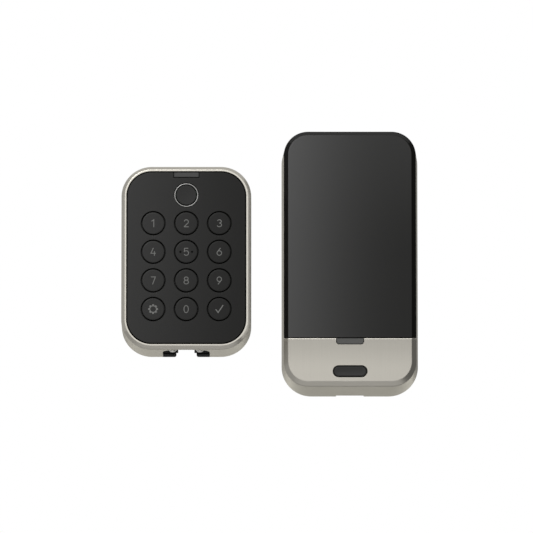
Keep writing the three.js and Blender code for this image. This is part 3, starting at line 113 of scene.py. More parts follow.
# the inside unit: its walls lean in towards the front by the drafts
INSIDE_LOW, INSIDE_HIGH = extent("inside_housing")
INSIDE_WIDTH = INSIDE_HIGH.x - INSIDE_LOW.x
INSIDE_BOTTOM = INSIDE_LOW.z
INSIDE_TOP = -INSIDE_BOTTOM
INSIDE_FRONT, INSIDE_BACK = INSIDE_LOW.y, INSIDE_HIGH.y
INSIDE_CORNER, INSIDE_EDGE, INSIDE_WALL = 15.0, 2.4, 2.2
SIDE_DRAFT, END_DRAFT, CORNER_DRAFT = 1.1, 1.75, 2.7
FRONT_WIDTH = INSIDE_WIDTH - 2 * SIDE_DRAFT
FRONT_HEIGHT = 2 * (INSIDE_TOP - END_DRAFT)
FRONT_CORNER = INSIDE_CORNER - CORNER_DRAFT
EDGE_BACK = INSIDE_FRONT + INSIDE_EDGE
SKIN_BACK = INSIDE_FRONT + INSIDE_WALL
COVER_SKIN_BACK = INSIDE_FRONT + 1.8
SEAM_Z = INSIDE_BOTTOM + 25.95
SEAM_CHAMFER, SEAM_SLOPE = 0.34, 0.35
COVER_BOTTOM = SEAM_Z + 0.5
TOP_STEP_Z = INSIDE_TOP - END_DRAFT - FRONT_CORNER
SKIRT_BACK = EDGE_BACK + 3.0
BUTTON_Z = INSIDE_BOTTOM + 8.75
BUTTON_CAP_Z = BUTTON_Z + 0.4
BUTTON_WIDTH, BUTTON_HEIGHT, BUTTON_GAP = 16.7, 5.3, 0.4
CHASSIS_FRONT, CHASSIS_BACK = -3.5, -1.9
SPINDLE = (0.0, -31.0)
CABLE_SLOT = (14, 6, 3, 0, SPINDLE[1] - 18)  # width, height, corner and place
INSIDE_BOSSES = ((-26.6, -59.15), (26.6, -59.15))
PLATE_SCREWS = ((-19.0, -55.0), (19.0, -55.0))
BOLTS = ((-POST_X, SPINDLE[1]), (POST_X, SPINDLE[1]))
ACROSS = (-INSIDE_WIDTH, INSIDE_WIDTH)
BETWEEN_UNITS = (OUTSIDE_HIGH.x + INSIDE_LOW.x) / 2

# the gear train, from the front: its deck, the wheel that the motor drives, and the spindle's teeth
DECK_FRONT = extent("gear_deck")[0].y
DECK_BACK = DECK_FRONT + 1.2
WHEEL_FRONT, WHEEL_BACK = DECK_BACK + FIT, DECK_BACK + FIT + 2.0
TEETH_FRONT, TEETH_BACK = WHEEL_BACK + 1.0, WHEEL_BACK + 5.0
MODULE, PRESSURE = 0.8, math.radians(25)
SPINDLE_TEETH, WHEEL_TEETH, PINION_TEETH = 40, 36, 10

# the batteries, side by side
CELLS = 4
CELL_NODES = ["battery_cell_%d" % (index + 1) for index in range(CELLS)]
CELL_LOW, CELL_HIGH = extent(CELL_NODES[0])
CELL_Y = (CELL_LOW.y + CELL_HIGH.y) / 2
CELL_RADIUS = (CELL_HIGH.x - CELL_LOW.x) / 2
CELL_PITCH = extent(CELL_NODES[1])[0].x - CELL_LOW.x
CELL_X = [(index - (CELLS - 1) / 2) * CELL_PITCH for index in range(CELLS)]


# ---- camera ----
LENS = 600.0
VIEW_DISTANCE = 4480.0
VIEW_RISE = math.radians(-10.0)  # the camera looks up from a little below
AIM_PAST_MIDDLE = Vector((-1.7, 0.8, -4.5))
CLIP_RANGE = (0.05, 30.0)  # in metres
LOCK_MIDDLE = (CAD_BOX[0] + CAD_BOX[1]) / 2 / MM


def aim(thing, spot, target):
    thing.location = spot * MM
    thing.rotation_euler = (target - spot).to_track_quat("-Z", "Y").to_euler()
    bpy.context.scene.collection.objects.link(thing)


def add_camera():
    eye = bpy.data.cameras.new("lock_camera")
    eye.lens = LENS
    eye.clip_start, eye.clip_end = CLIP_RANGE
    camera = bpy.data.objects.new("lock_camera", eye)
    front = Vector((LOCK_MIDDLE.x, CAD_BOX[0].y / MM, LOCK_MIDDLE.z))
    target = front + AIM_PAST_MIDDLE
    away = Vector((0, -math.cos(VIEW_RISE), math.sin(VIEW_RISE)))
    aim(camera, target + away * VIEW_DISTANCE, target)
    bpy.context.scene.camera = camera


add_camera()


# ---- shader helpers ----
class Wire:
    """A shader socket that can stand in a sum."""

    def __init__(self, bench, socket):
        self.bench, self.socket = bench, socket

    def _maths(self, operation, *values):
        return self.bench.node("Math", {"operation": operation}, values)

    def __add__(self, other):
        return self._maths("ADD", self, other)

    def __radd__(self, other):
        return self._maths("ADD", other, self)

    def __sub__(self, other):
        return self._maths("SUBTRACT", self, other)

    def __rsub__(self, other):
        return self._maths("SUBTRACT", other, self)

    def __mul__(self, other):
        return self._maths("MULTIPLY", self, other)

    def __rmul__(self, other):
        return self._maths("MULTIPLY", other, self)

    def __gt__(self, other):
        return self._maths("GREATER_THAN", self, other)

    def __lt__(self, other):
        return self._maths("LESS_THAN", self, other)

    def larger(self, other):
        return self._maths("MAXIMUM", self, other)

    def remainder(self, period):
        return self._maths("MODULO", self, period)

    def sway(self, amount):
        """A pattern of 0 to 1 as a change about nothing, by half the amount each way."""
        return (self - 0.5) * amount

    def between(self, low, high):
        """0 at low and below, 1 at high and above, eased between."""
        settings = {"interpolation_type": "SMOOTHSTEP"}
        return self.bench.node("MapRange", settings, {"Value": self, "From Min": low, "From Max": high})


class Bench:
    """Where one node tree is put together."""

    def __init__(self, tree):
        self.tree = tree
        tree.nodes.clear()

    def node(self, kind, settings=None, inputs=(), output=0):
        """A new node: its settings first, then its sockets, given in order or by name."""
        made = self.tree.nodes.new("ShaderNode" + kind)
        for name, value in (settings or {}).items():
            setattr(made, name, value)
        pairs = inputs.items() if isinstance(inputs, dict) else enumerate(inputs)
        for key, value in pairs:
            if isinstance(value, Wire):
                self.tree.links.new(value.socket, made.inputs[key])
            else:
                made.inputs[key].default_value = value
        return Wire(self, made.outputs[output]) if made.outputs else made

    def place(self, grain=1.0):
        """Object coordinates counted in grains, whose size is one number or one for each axis."""
        spot = self.node("TexCoord", output="Object")
        sizes = grain if isinstance(grain, tuple) else (grain, grain, grain)
        scale = tuple(1 / (size * MM) for size in sizes)
        return self.node("VectorMath", {"operation": "MULTIPLY"}, {0: spot, 1: scale})

    def noise(self, grain, detail=2.0, roughness=0.5):
        inputs = {"Vector": self.place(grain), "Scale": 1.0, "Detail": detail, "Roughness": roughness}
        return self.node("TexNoise", {}, inputs, "Fac")

    def axis(self, name):
        """One object coordinate, in millimetres."""
        return self.node("SeparateXYZ", {}, [self.place()], name)

    def facing(self, name):
        """One part of the surface's true normal."""
        normal = self.node("NewGeometry", output="Normal")
        return self.node("SeparateXYZ", {}, [normal], name)

    def mix(self, share, first, second):
        settings = {"data_type": "RGBA"}
        return self.node("Mix", settings, {0: share, 6: first, 7: second}, 2)

    def spread(self, share, colour, reach):
        """A colour from darker than its own by reach, where share is 0, to as much lighter."""
        return self.mix(share, shaded(colour, 1 - reach), shaded(colour, 1 + reach))

    def bump(self, height, depth):
        """A dent pattern of the given depth in millimetres."""
        return self.node("Bump", {}, {"Height": height, "Distance": depth * MM, "Strength": 1.0})

    def close(self, colour, roughness, metallic, normal, constants=None):
        """Ends the tree in one surface. The constants are other sockets' values."""
        inputs = {"Base Color": colour, "Roughness": roughness, "Metallic": metallic, "Normal": normal}
        inputs.update(constants or {})
        self.node("OutputMaterial", {}, [self.node("BsdfPrincipled", {}, inputs)])

    def close_one_sided(self, paper):
        """Ends the tree in a surface that can't be seen from its back."""
        back = self.node("NewGeometry", output="Backfacing")
        shown = self.node("MixShader", {}, [back, paper, self.node("BsdfTransparent")])
        self.node("OutputMaterial", {}, [shown])


def tint(red, green, blue):
    return (red, green, blue, 1.0)


def grey(level):
    return tint(level, level, level)


def shaded(colour, share):
    return tuple(part * share for part in colour[:3]) + (1.0,)


FINISH = {}


def new_finish(slot):
    material = bpy.data.materials.new(slot)
    material.use_nodes = True
    FINISH[slot] = material
    return Bench(material.node_tree)


# ---- finishes ----
NICKEL = tint(0.54, 0.517, 0.462)
LENS_BLACK = tint(0.0042, 0.004, 0.0031)
BRUSHED = (0.28, 0.28, 34.0)  # the grain of brushed metal, long up and down

# how light and shade are painted into the housings' metal, as changes of tone
# painted highlights: their strength, the rim's share of it, and how much the rim's clouding is evened out
PAINTED_HIGHLIGHT, RIM_HIGHLIGHT_SHARE, RIM_EVENNESS = 0.5, 0.84, 0.7
HIGHLIGHT_SMOOTHING = 0.08  # taken off the roughness where the highlights are painted
# painted light on the outside unit's walls, and painted shade on its downward faces and on the inside unit's
# chin
PAINTED_SIDE_LIGHT, PAINTED_UNDERSIDE_SHADE, PAINTED_CHIN_SHADE = 0.36, 0.36, 0.34
# how far the painted shade reaches down the inside unit's chin, which is its metal front below the seam, and
# how wide the painted highlight along the seam is
CHIN_SHADE_REACH, SEAM_HIGHLIGHT_BAND = 17.0, 0.6
# where the highlights on the cut edges of the chin's openings are painted
OPENING_HIGHLIGHT_HALF, OPENING_HIGHLIGHT_LOW = 9.3, INSIDE_BOTTOM + 4.5

# how thick the clear lacquer lies, where a full coat is 1: an even base coat, more on the inside unit, and
# painted sheen laid on as extra thickness
BASE_COAT, INSIDE_COAT, UPWARD_EDGE_PAINTED_SHEEN = 0.115, 0.12, 0.3
LEFT_PAINTED_SHEEN = 0.43  # painted sheen along each unit's left
INSIDE_LEFT_PAINTED_SHEEN, PAINTED_SHEEN_CLIMB = 0.84, 0.0012  # more painted sheen on the inside unit's left, and more for each unit of height
PAINTED_SHEEN_EBB = (-0.35, 1.25)  # shares of a unit's width over which its painted left sheen thins out
INSIDE_RIGHT_PAINTED_SHEEN, RIGHT_PAINTED_SHEEN_RISE = 0.25, (0, 70)  # painted sheen towards the inside unit's right, and the heights over which it grows to its full share
FLAT_FRONT = (0.93, 0.995)  # how squarely a face has to look forward to count as flat

# a battery cell's printed band and bare ends, each by its height
COPPER_BAND, BARE_TOP, BARE_FOOT = 14.5, 1.9, 0.9


def handled(bench, tone, rough):
    """Paints light and shade into the housings' metal as changes of tone. Highlights are painted on the
    outside unit's flat rim and on the cut edges of the inside unit's chin, and the outside unit's walls are
    painted lighter, but not those that face down. Painted shade darkens the chin towards the seam above it."""
    x, z, front = bench.axis("X"), bench.axis("Z"), bench.facing("Y")
    outside = x < BETWEEN_UNITS
    rim = outside * (front < -0.99)
    chin = (x > BETWEEN_UNITS) * (z < SEAM_Z + 0.1)
    turned_away = front > -0.97
    seam = chin * (z > SEAM_Z - SEAM_HIGHLIGHT_BAND) * turned_away * (front < -0.25)
    openings = chin * (x > -OPENING_HIGHLIGHT_HALF) * (x < OPENING_HIGHLIGHT_HALF) * (z > OPENING_HIGHLIGHT_LOW)
    openings = openings * turned_away * (front < 0.5)
    # painted highlights on the outside unit's flat rim, the seam's chamfer and the openings' cut edges
    painted_highlight = rim * RIM_HIGHLIGHT_SHARE + seam.larger(openings)
    tone = tone * (1 - rim * RIM_EVENNESS)
    # the painted highlights, and painted light that makes the outside unit's walls lighter
    tone = tone + painted_highlight * PAINTED_HIGHLIGHT + (outside - rim) * PAINTED_SIDE_LIGHT
    # painted shade on the outside unit's faces that look down
    tone = tone - outside * (bench.facing("Z") < -0.3) * PAINTED_UNDERSIDE_SHADE
    # painted shade on the chin, darkest at the seam
    tone = tone - chin * (front < -0.97) * z.between(SEAM_Z - CHIN_SHADE_REACH, SEAM_Z) * PAINTED_CHIN_SHADE
    return tone, rough - painted_highlight * HIGHLIGHT_SMOOTHING


def plated(slot, colour, roughness, depth, streak=0.0, grain=0.12, cloud=0.05, paints_housing_light=False,
           edge_tint=grey(1.0)):
    """Plated or bare metal: a fine random grain and faint clouding, with brushed streaks on its walls and a
    housing's painted light and shade where asked."""
    bench = new_finish(slot)
    fine = bench.noise(grain, detail=3.0, roughness=0.65)
    clouds = bench.noise(9.0)
    specks = bench.noise(0.55, detail=1.0)
    tone = clouds.sway(cloud) + specks.sway(cloud)
    rough = roughness + fine.sway(0.12) + clouds.sway(0.06)
    height = fine
    if streak:
        lines = bench.noise(BRUSHED, detail=3.0, roughness=0.6)
        wall = 1 - (bench.facing("Z") > 0.8) - (bench.facing("Z") < -0.8)
        brushing = (lines - 0.5) * wall * streak
        tone = tone + brushing
        rough = rough + brushing
        height = fine + lines * wall * 1.4
    if paints_housing_light:
        tone, rough = handled(bench, tone, rough)
    shade = bench.spread(tone + 0.5, colour, 0.28)
    bench.close(shade, rough, 1.0, bench.bump(height, depth), {"Specular Tint": edge_tint})


def lacquered(bench):
    """How thick the clear lacquer lies. On the flat fronts it is an even coat with painted sheen as extra
    thickness, thickest along each unit's left side; the edges that face up get a coat of painted sheen too."""
    x, z = bench.axis("X"), bench.axis("Z")
    inside = x > BETWEEN_UNITS
    across = (x - OUTSIDE_LOW.x) * (1 - inside) * (1 / OUTSIDE_WIDTH)
    across = across + (x - INSIDE_LOW.x) * inside * (1 / INSIDE_WIDTH)
    ebb = across.between(*PAINTED_SHEEN_EBB)
    # painted sheen: more coat along each unit's left and towards the inside unit's upper right, standing in
    # for light from the left and from above
    left = (1 - ebb) * (1 - ebb * inside) * (LEFT_PAINTED_SHEEN + inside * (INSIDE_LEFT_PAINTED_SHEEN + z * PAINTED_SHEEN_CLIMB))
    own = inside * (ebb * z.between(*RIGHT_PAINTED_SHEEN_RISE) * INSIDE_RIGHT_PAINTED_SHEEN + INSIDE_COAT)
    flat = (0 - bench.facing("Y")).between(*FLAT_FRONT)
    # painted sheen on the edges that face up
    upward = (bench.facing("Z") > 0.4) * (bench.facing("Y") < -0.3)
    return (left + own + BASE_COAT) * flat + (1 - flat) * upward * UPWARD_EDGE_PAINTED_SHEEN


def moulded(slot, colour, roughness, grain, depth=0.004, mottle=0.25, specular=0.5, lacquer=False):
    """Moulded plastic or rubber with a spark-eroded texture and a faint mottle."""
    bench = new_finish(slot)
    pits = bench.node("TexVoronoi", {"feature": "SMOOTH_F1"},
                      {"Vector": bench.place(grain), "Scale": 1.0, "Smoothness": 0.6})
    fine = bench.noise(grain * 0.6)
    clouds = bench.noise(14.0, detail=3.0)
    dust = bench.noise(0.9)
    shade = bench.spread(0.5 + clouds.sway(mottle) + dust.sway(mottle) * 0.6, colour, 0.3)
    rough = roughness + (pits - 0.4) * 0.06 + clouds.sway(0.08)
    gloss = {"Specular IOR Level": specular}
    # a clear coat whose varying thickness is painted sheen
    if lacquer:
        gloss.update({"Coat Weight": lacquered(bench), "Coat Roughness": 0.36, "Coat IOR": 1.62})
    bench.close(shade, rough, 0.0, bench.bump(pits * 0.6 + fine, depth), gloss)


def glossy_pane(slot, colour, roughness, specular=0.5):
    """A hard smooth window or lens, with only the faintest ripple."""
    bench = new_finish(slot)
    ripple = bench.noise(4.0, detail=1.0)
    haze = bench.noise(0.35)
    shade = bench.spread(0.5 + haze.sway(0.3), colour, 0.15)
    rough = roughness + haze.sway(0.06)
    bench.close(shade, rough, 0.0, bench.bump(ripple, 0.002), {"Specular IOR Level": specular})


def foamed(slot):
    """Closed-cell foam: a pitted skin of small cells."""
    bench = new_finish(slot)
    cells = bench.node("TexVoronoi", {}, {"Vector": bench.place(0.45), "Scale": 1.0})
    fine = bench.noise(0.15)
    shade = bench.mix(cells, grey(0.012), tint(0.034, 0.034, 0.033))
    bench.close(shade, 0.82 + fine.sway(0.2), 0.0, bench.bump(cells + fine * 0.4, 0.06))


def etched_board(slot):
    """A green board: solder mask over copper tracks, with a sprinkle of tinned pads."""
    bench = new_finish(slot)
    upright_face = bench.node("VectorRotate", {"rotation_type": "X_AXIS"},
                              {"Vector": bench.place(), "Angle": math.pi / 2})
    tracks = bench.node("TexBrick", {"offset": 0.37, "squash": 1.0},
                        {"Vector": upright_face, "Scale": 0.22, "Mortar Size": 0.035, "Mortar Smooth": 0.2,
                         "Brick Width": 0.9, "Row Height": 0.28}, "Fac")
    pads = bench.node("TexVoronoi", {}, {"Vector": bench.place((2.4, 40.0, 2.4)), "Scale": 1.0,
                                         "Randomness": 0.6}, "Distance")
    tinned = pads < 0.16
    weave = bench.noise(0.5)
    mask = bench.mix(tracks, tint(0.008, 0.085, 0.035), tint(0.02, 0.16, 0.07))
    mask = bench.mix(weave.sway(0.3), mask, tint(0.0, 0.03, 0.01))
    shade = bench.mix(tinned, mask, tint(0.62, 0.6, 0.56))
    bench.close(shade, 0.36 + weave.sway(0.1) - tinned * 0.08, tinned,
                bench.bump(tracks + tinned * 1.5 + weave * 0.2, 0.02))


def wrapped_cell(slot):
    """The printed sleeve of a battery cell: a dark body, a copper-toned band and bare steel ends. Every
    second cell stands on its head."""
    bench = new_finish(slot)
    up, across = bench.axis("Z"), bench.axis("X")
    pair = 2 * CELL_PITCH
    # whole pairs are added first, so that what is divided is never below zero
    flipped = (across + 1000 * pair).remainder(pair) > CELL_PITCH
    along = up * (1 - flipped * 2) + flipped * (CELL_LOW.z + CELL_HIGH.z)
    band = along > CELL_HIGH.z - COPPER_BAND
    steel = (along > CELL_HIGH.z - BARE_TOP) + (along < CELL_LOW.z + BARE_FOOT)
    print_grain = bench.noise((0.3, 0.3, 1.6), detail=3.0)
    scuffs = bench.noise((1.2, 1.2, 7.0), detail=4.0, roughness=0.7)
    body = bench.mix(print_grain, tint(0.018, 0.02, 0.023), tint(0.035, 0.037, 0.042))
    copper = bench.mix(print_grain, tint(0.5, 0.25, 0.1), tint(0.66, 0.36, 0.16))
    shade = bench.mix(steel, bench.mix(band, body, copper), tint(0.66, 0.65, 0.63))
    rough = 0.27 + scuffs.sway(0.22) + print_grain.sway(0.06)
    bench.close(shade, rough, band * 0.9 + steel, bench.bump(print_grain + scuffs * 0.5, 0.004))


def make_finishes():
    plated("satin_nickel", NICKEL, 0.34, 0.0008, streak=0.2, cloud=0.04, paints_housing_light=True,
           edge_tint=tint(1.0, 0.98, 0.9))
    plated("polished_steel", tint(0.4, 0.396, 0.385), 0.34, 0.0004, grain=0.2)
    plated("zinc_plate", tint(0.56, 0.565, 0.57), 0.4, 0.003, streak=0.08, cloud=0.12)
    plated("screw_steel", tint(0.5, 0.5, 0.49), 0.33, 0.002, cloud=0.1)
    plated("contact_nickel", tint(0.76, 0.74, 0.69), 0.3, 0.001)
    plated("brass_post", tint(0.68, 0.5, 0.22), 0.3, 0.002, cloud=0.08)
    plated("brass_pinion", tint(0.7, 0.51, 0.22), 0.26, 0.001)
    plated("gear_steel", tint(0.48, 0.475, 0.46), 0.38, 0.004, cloud=0.1)
    plated("motor_case", grey(0.55), 0.3, 0.0015, cloud=0.06)
    moulded("satin_black", LENS_BLACK, 0.42, 0.16, depth=0.0022, specular=0.12, lacquer=True)
    moulded("key_black", LENS_BLACK, 0.45, 0.16, depth=0.0025, specular=0.12, lacquer=True)
    moulded("button_black", tint(0.014, 0.0138, 0.0125), 0.42, 0.18, depth=0.003, specular=0.4)
    glossy_pane("sensor_black", tint(0.01, 0.0098, 0.009), 0.34, specular=0.32)
    glossy_pane("smoked_lens", tint(0.036, 0.036, 0.035), 0.3)
    moulded("latch_grey", tint(0.075, 0.075, 0.071), 0.45, 0.2, depth=0.003)
    moulded("silicone_rubber", grey(0.04), 0.72, 0.3, depth=0.006)
    foamed("gasket_foam")
    etched_board("circuit_board")
    moulded("connector_nylon", tint(0.74, 0.71, 0.62), 0.42, 0.3, mottle=0.12)
    moulded("moulded_black", tint(0.007, 0.007, 0.0066), 0.8, 0.28, depth=0.006, specular=0.1)
    moulded("chassis_polymer", tint(0.03, 0.03, 0.031), 0.52, 0.35, depth=0.008)
    moulded("tray_polymer", tint(0.026, 0.026, 0.027), 0.5, 0.3, depth=0.007)
    moulded("gear_polymer", tint(0.7, 0.68, 0.6), 0.4, 0.3, mottle=0.12)
    moulded("print_grey", tint(0.16, 0.16, 0.152), 0.5, 0.12, depth=0.001, mottle=0.2)
    wrapped_cell("cell_wrap")


make_finishes()


# ---- shape helpers ----
BEND_STEPS, CORNER_STEPS, INSIDE_STEPS, HOUSING_STEPS = 4, 18, 24, 26
SMALL_SIDES, GEAR_SIDES, ROUND_SIDES = 40, 72, 96
SHARP_ANGLE = math.radians(32)
TINY = 0.001


def rounded(width, height, corner, x, z, steps=CORNER_STEPS):
    """A rounded rectangle's outline, anticlockwise from its lower right corner."""
    corner = max(min(corner, width / 2 - TINY, height / 2 - TINY), TINY)
    dx, dz = width / 2 - corner, height / 2 - corner
    points = []
    for turn, (cx, cz) in enumerate(((dx, -dz), (dx, dz), (-dx, dz), (-dx, -dz))):
        for step in range(steps + 1):
            angle = (turn - 1 + step / steps) * math.pi / 2
            points.append((x + cx + corner * math.cos(angle), z + cz + corner * math.sin(angle)))
    return points


def circle(x, z, radius, sides=ROUND_SIDES):
    return [(x + radius * math.cos(2 * math.pi * i / sides),
             z + radius * math.sin(2 * math.pi * i / sides)) for i in range(sides)]


def grown(outline, distance):
    """An anticlockwise outline moved outwards by a distance, or inwards where it is negative."""
    moved = []
    count = len(outline)
    for i in range(count):
        before, here, after = (Vector(outline[(i + k) % count]) for k in (-1, 0, 1))
        into, out = (here - before).normalized(), (after - here).normalized()
        side = Vector((into.y + out.y, -into.x - out.x))
        reach = max(side.length / 2, 0.4)
        step = side.normalized() * (distance / reach)
        moved.append((here.x + step.x, here.y + step.y))
    return moved


def made(bm, name="shape"):
    bmesh.ops.recalc_face_normals(bm, faces=bm.faces)
    mesh = bpy.data.meshes.new(name)
    bm.to_mesh(mesh)
    bm.free()
    solid = bpy.data.objects.new(name, mesh)
    bpy.context.scene.collection.objects.link(solid)
    return solid


def ring_of(bm, points):
    return [bm.verts.new(point) for point in points]


def join_ring(bm, ring):
    """Gives a ring its own edges, where no face has made them yet."""
    for i, vertex in enumerate(ring):
        if not bm.edges.get((vertex, ring[i - 1])):
            bm.edges.new((vertex, ring[i - 1]))


def skin(bm, first, second):
    """A band of faces between two rings that have as many points as each other."""
    count = len(first)
    for i in range(count):
        j = (i + 1) % count
        corners = [first[i], first[j], second[j], second[i]]
        kept = [v for k, v in enumerate(corners) if v not in corners[:k]]
        if len(kept) > 2:
            bm.faces.new(kept)


def filled(bm, rings):
    """Closes the flat space between an outer ring and the rings of its holes."""
    edges = []
    for ring in rings:
        join_ring(bm, ring)
        edges += [bm.edges.get((ring[i], ring[i - 1])) for i in range(len(ring))]
    bmesh.ops.triangle_fill(bm, use_beauty=True, edges=edges)


def bend(start, middle, end, steps=BEND_STEPS):
    """Points along a curve that leaves start and reaches end as if each led to the middle."""
    shares = [step / steps for step in range(steps + 1)]
    return [tuple(start * (1 - t) ** 2 + middle * 2 * t * (1 - t) + end * t ** 2) for t in shares]


def rounding(radius, steps=BEND_STEPS):
    """The (inset, drop) steps of a rounded edge, from its side round to its face."""
    turns = [math.pi / 2 * i / steps for i in range(steps + 1)]
    return [(radius * (1 - math.cos(turn)), radius * (1 - math.sin(turn))) for turn in turns]


def bevelled(reach, soft):
    """The (inset, drop) steps of a flat bevel with a soft corner at each end."""
    corners = ((0, reach + soft), (0, reach), (reach, 0), (reach + soft, 0))
    start, turn, top, end = (Vector(corner) for corner in corners)
    slope = (top - turn).normalized() * soft
    return bend(start, turn, turn + slope) + bend(top - slope, top, end)


def slab(outline, back, front, holes=(), edge=0.0, back_edge=0.0, flat=lambda p, y: (p[0], y, p[1]),
         on_front=(), on_back=()):
    """A flat piece from y = back forward to y = front, with its face's edges rounded. Each entry of
    on_front and on_back is a boss or a well that grows from that face: a list of (y, outline)."""
    toward = 1 if back > front else -1
    profile = [(0, back)]
    if back_edge:
        profile = [(inset, back - toward * drop) for inset, drop in reversed(rounding(back_edge))]
    profile += [(inset, front + toward * drop) for inset, drop in rounding(edge)] if edge else [(0, front)]
    bm = bmesh.new()
    ends = ([], [])
    for loop, side in [(outline, -1)] + [(hole, 1) for hole in holes]:
        rings = [ring_of(bm, [flat(p, y) for p in (grown(loop, side * inset) if inset else loop)])
                 for inset, y in profile]
        for first, second in zip(rings, rings[1:]):
            skin(bm, first, second)
        ends[0].append(rings[0])
        ends[1].append(rings[-1])
    for end, features in zip(ends, (on_back, on_front)):
        for feature in features:
            rings = [ring_of(bm, [flat(p, y) for p in loop]) for y, loop in feature]
            end.append(rings[0])
            for i, (first, second) in enumerate(zip(rings, rings[1:])):
                level = feature[i][0] == feature[i + 1][0]
                if level:
                    filled(bm, [first, second])
                else:
                    skin(bm, first, second)
            bm.faces.new(rings[-1])
        if len(end) > 1:
            filled(bm, end)
        else:
            bm.faces.new(end[0])
    return made(bm)


def upright(plan, low, high, edge=0.0):
    """A piece with its plan in X and Y, from z = low up to z = high."""
    return slab(plan, low, high, edge=edge, flat=lambda p, z: (p[0], p[1], z))


def stack(rings, hooped=False):
    """A skin through outlines given from the back forward as (y, outline). It is closed at each end,
    or hooped, with its last outline joined to its first."""
    bm = bmesh.new()
    loops = [ring_of(bm, [(x, y, z) for x, z in outline]) for y, outline in rings]
    for first, second in zip(loops, loops[1:] + loops[:1] if hooped else loops[1:]):
        skin(bm, first, second)
    if not hooped:
        bm.faces.new(loops[0])
        bm.faces.new(loops[-1])
    return made(bm)


def turned(profile, centre=(0.0, 0.0), sides=ROUND_SIDES, spot=None):
    """A turned piece. Its profile is a list of (radius, y) about an axis along Y, or of
    (radius, z) about an upright axis where spot maps (across, height, across) to a place."""
    spot = spot or (lambda a, y, b: (centre[0] + a, y, centre[1] + b))
    bm = bmesh.new()
    loops = []
    closed = profile[0] == profile[-1]
    for radius, along in profile[:-1] if closed else profile:
        if radius:
            loops.append(ring_of(bm, [spot(a, along, b) for a, b in circle(0, 0, radius, sides)]))
        else:
            loops.append([bm.verts.new(spot(0, along, 0))] * sides)
    for first, second in zip(loops, loops[1:] + loops[:1] if closed else loops[1:]):
        skin(bm, first, second)
    return made(bm)


def turned_up(profile, x, y, sides):
    return turned(profile, sides=sides, spot=lambda a, z, b: (x + a, y + b, z))


def softened(profile, radius, steps=3):
    """The same profile with each of its corners rounded, apart from those on the axis."""
    points = [Vector(p) for p in profile]
    closed = profile[0] == profile[-1]
    if closed:
        points = points[:-1]
    count = len(points)
    result = []
    for i, here in enumerate(points):
        if not here.x or not closed and i in (0, count - 1):
            result.append(tuple(here))
            continue
        into, out = points[i - 1] - here, points[(i + 1) % count] - here
        cut_back = min(radius, into.length * 0.45, out.length * 0.45)
        result += bend(here + into.normalized() * cut_back, here, here + out.normalized() * cut_back, steps)
    if closed:
        result.append(result[0])
    return result


def block(x, y, z):
    """A cutting or joining block between two values on each axis."""
    corners = [(a, b, c) for a in sorted(x) for b in sorted(y) for c in sorted(z)]
    bm = bmesh.new()
    v = ring_of(bm, corners)
    for face in ((0, 1, 3, 2), (4, 6, 7, 5), (0, 4, 5, 1), (2, 3, 7, 6), (0, 2, 6, 4), (1, 5, 7, 3)):
        bm.faces.new([v[i] for i in face])
    return made(bm)


def about(middle, half):
    """The two values at half a width to each side of a middle."""
    return middle - half, middle + half


def rod(radius, back, front, centre, sides=SMALL_SIDES):
    return turned([(0, back), (radius, back), (radius, front), (0, front)], centre, sides)


def baked(solid):
    """Turns an object's modifiers into its mesh."""
    held = solid.evaluated_get(bpy.context.evaluated_depsgraph_get())
    mesh = bpy.data.meshes.new_from_object(held)
    old = solid.data
    solid.modifiers.clear()
    solid.data = mesh
    bpy.data.meshes.remove(old)
    return solid


def gathered(body, *others):
    """Adds other shapes' meshes to a body's, just as they are."""
    bm = bmesh.new()
    for shape in (body,) + others:
        bm.from_mesh(shape.data)
    bm.to_mesh(body.data)
    bm.free()
    for shape in others:
        bpy.data.objects.remove(shape)
    return body


def cleaned(body, reach, flat_below=None, last=None):
    """Merges a body's points within reach of each other, and faces that meet at less than an angle.
    The last change, if there is one, is a function of the open mesh."""
    bm = bmesh.new()
    bm.from_mesh(body.data)
    bmesh.ops.remove_doubles(bm, verts=bm.verts, dist=reach)
    bmesh.ops.dissolve_degenerate(bm, edges=bm.edges, dist=reach)
    if flat_below:
        flat = [e for e in folds(bm) if e.calc_face_angle(0) < flat_below]
        bmesh.ops.dissolve_edges(bm, edges=flat, use_verts=False)
    if last:
        last(bm)
    bm.to_mesh(body.data)
    bm.free()
    return body


def folds(bm):
    """The edges that have a face on each side."""
    return [e for e in bm.edges if len(e.link_faces) == 2]


def worked(body, tools, operation):
    for tool in tools:
        step = body.modifiers.new("work", "BOOLEAN")
        step.operation, step.solver, step.object = operation, "EXACT", tool
    baked(body)
    for tool in tools:
        bpy.data.objects.remove(tool)
    return cleaned(body, 0.002)


def cut(body, *tools):
    return worked(body, tools, "DIFFERENCE")


def joined(body, *others):
    return worked(body, others, "UNION")


def common(body, other):
    return worked(body, [other], "INTERSECT")


def eased(body, width):
    """Rounds every sharp edge."""
    cleaned(body, 0.004, flat_below=math.radians(0.4))
    step = body.modifiers.new("ease", "BEVEL")
    step.width, step.segments = width, 2
    step.limit_method, step.angle_limit = "ANGLE", math.radians(34)
    step.use_clamp_overlap = True
    return baked(body)


PIECES = {}


def place(solid, node, prints_and_shade=(), sharp=SHARP_ANGLE):
    """Sets a finished shape in the frame, in its node's place, and gives it that node's finish. The extra
    finishes are those of its faces whose material index is 1 and 2: printed marks, or black painted as shade
    in gaps and dimples."""
    solid.name = node + "_finished"
    mesh = solid.data
    mesh.name = solid.name
    mesh.transform(Matrix.Scale(MM, 4))
    mesh.materials.append(FINISH[SLOT_OF[node]])
    for slot in prints_and_shade:
        mesh.materials.append(FINISH[slot])
    mesh.shade_smooth()
    mesh.set_sharp_from_angle(angle=sharp)
    weigh = solid.modifiers.new("weigh", "WEIGHTED_NORMAL")
    weigh.keep_sharp = True
    baked(solid)
    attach(solid, BODY_OF[node])
    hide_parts(node)
    PIECES[node] = solid
    return solid


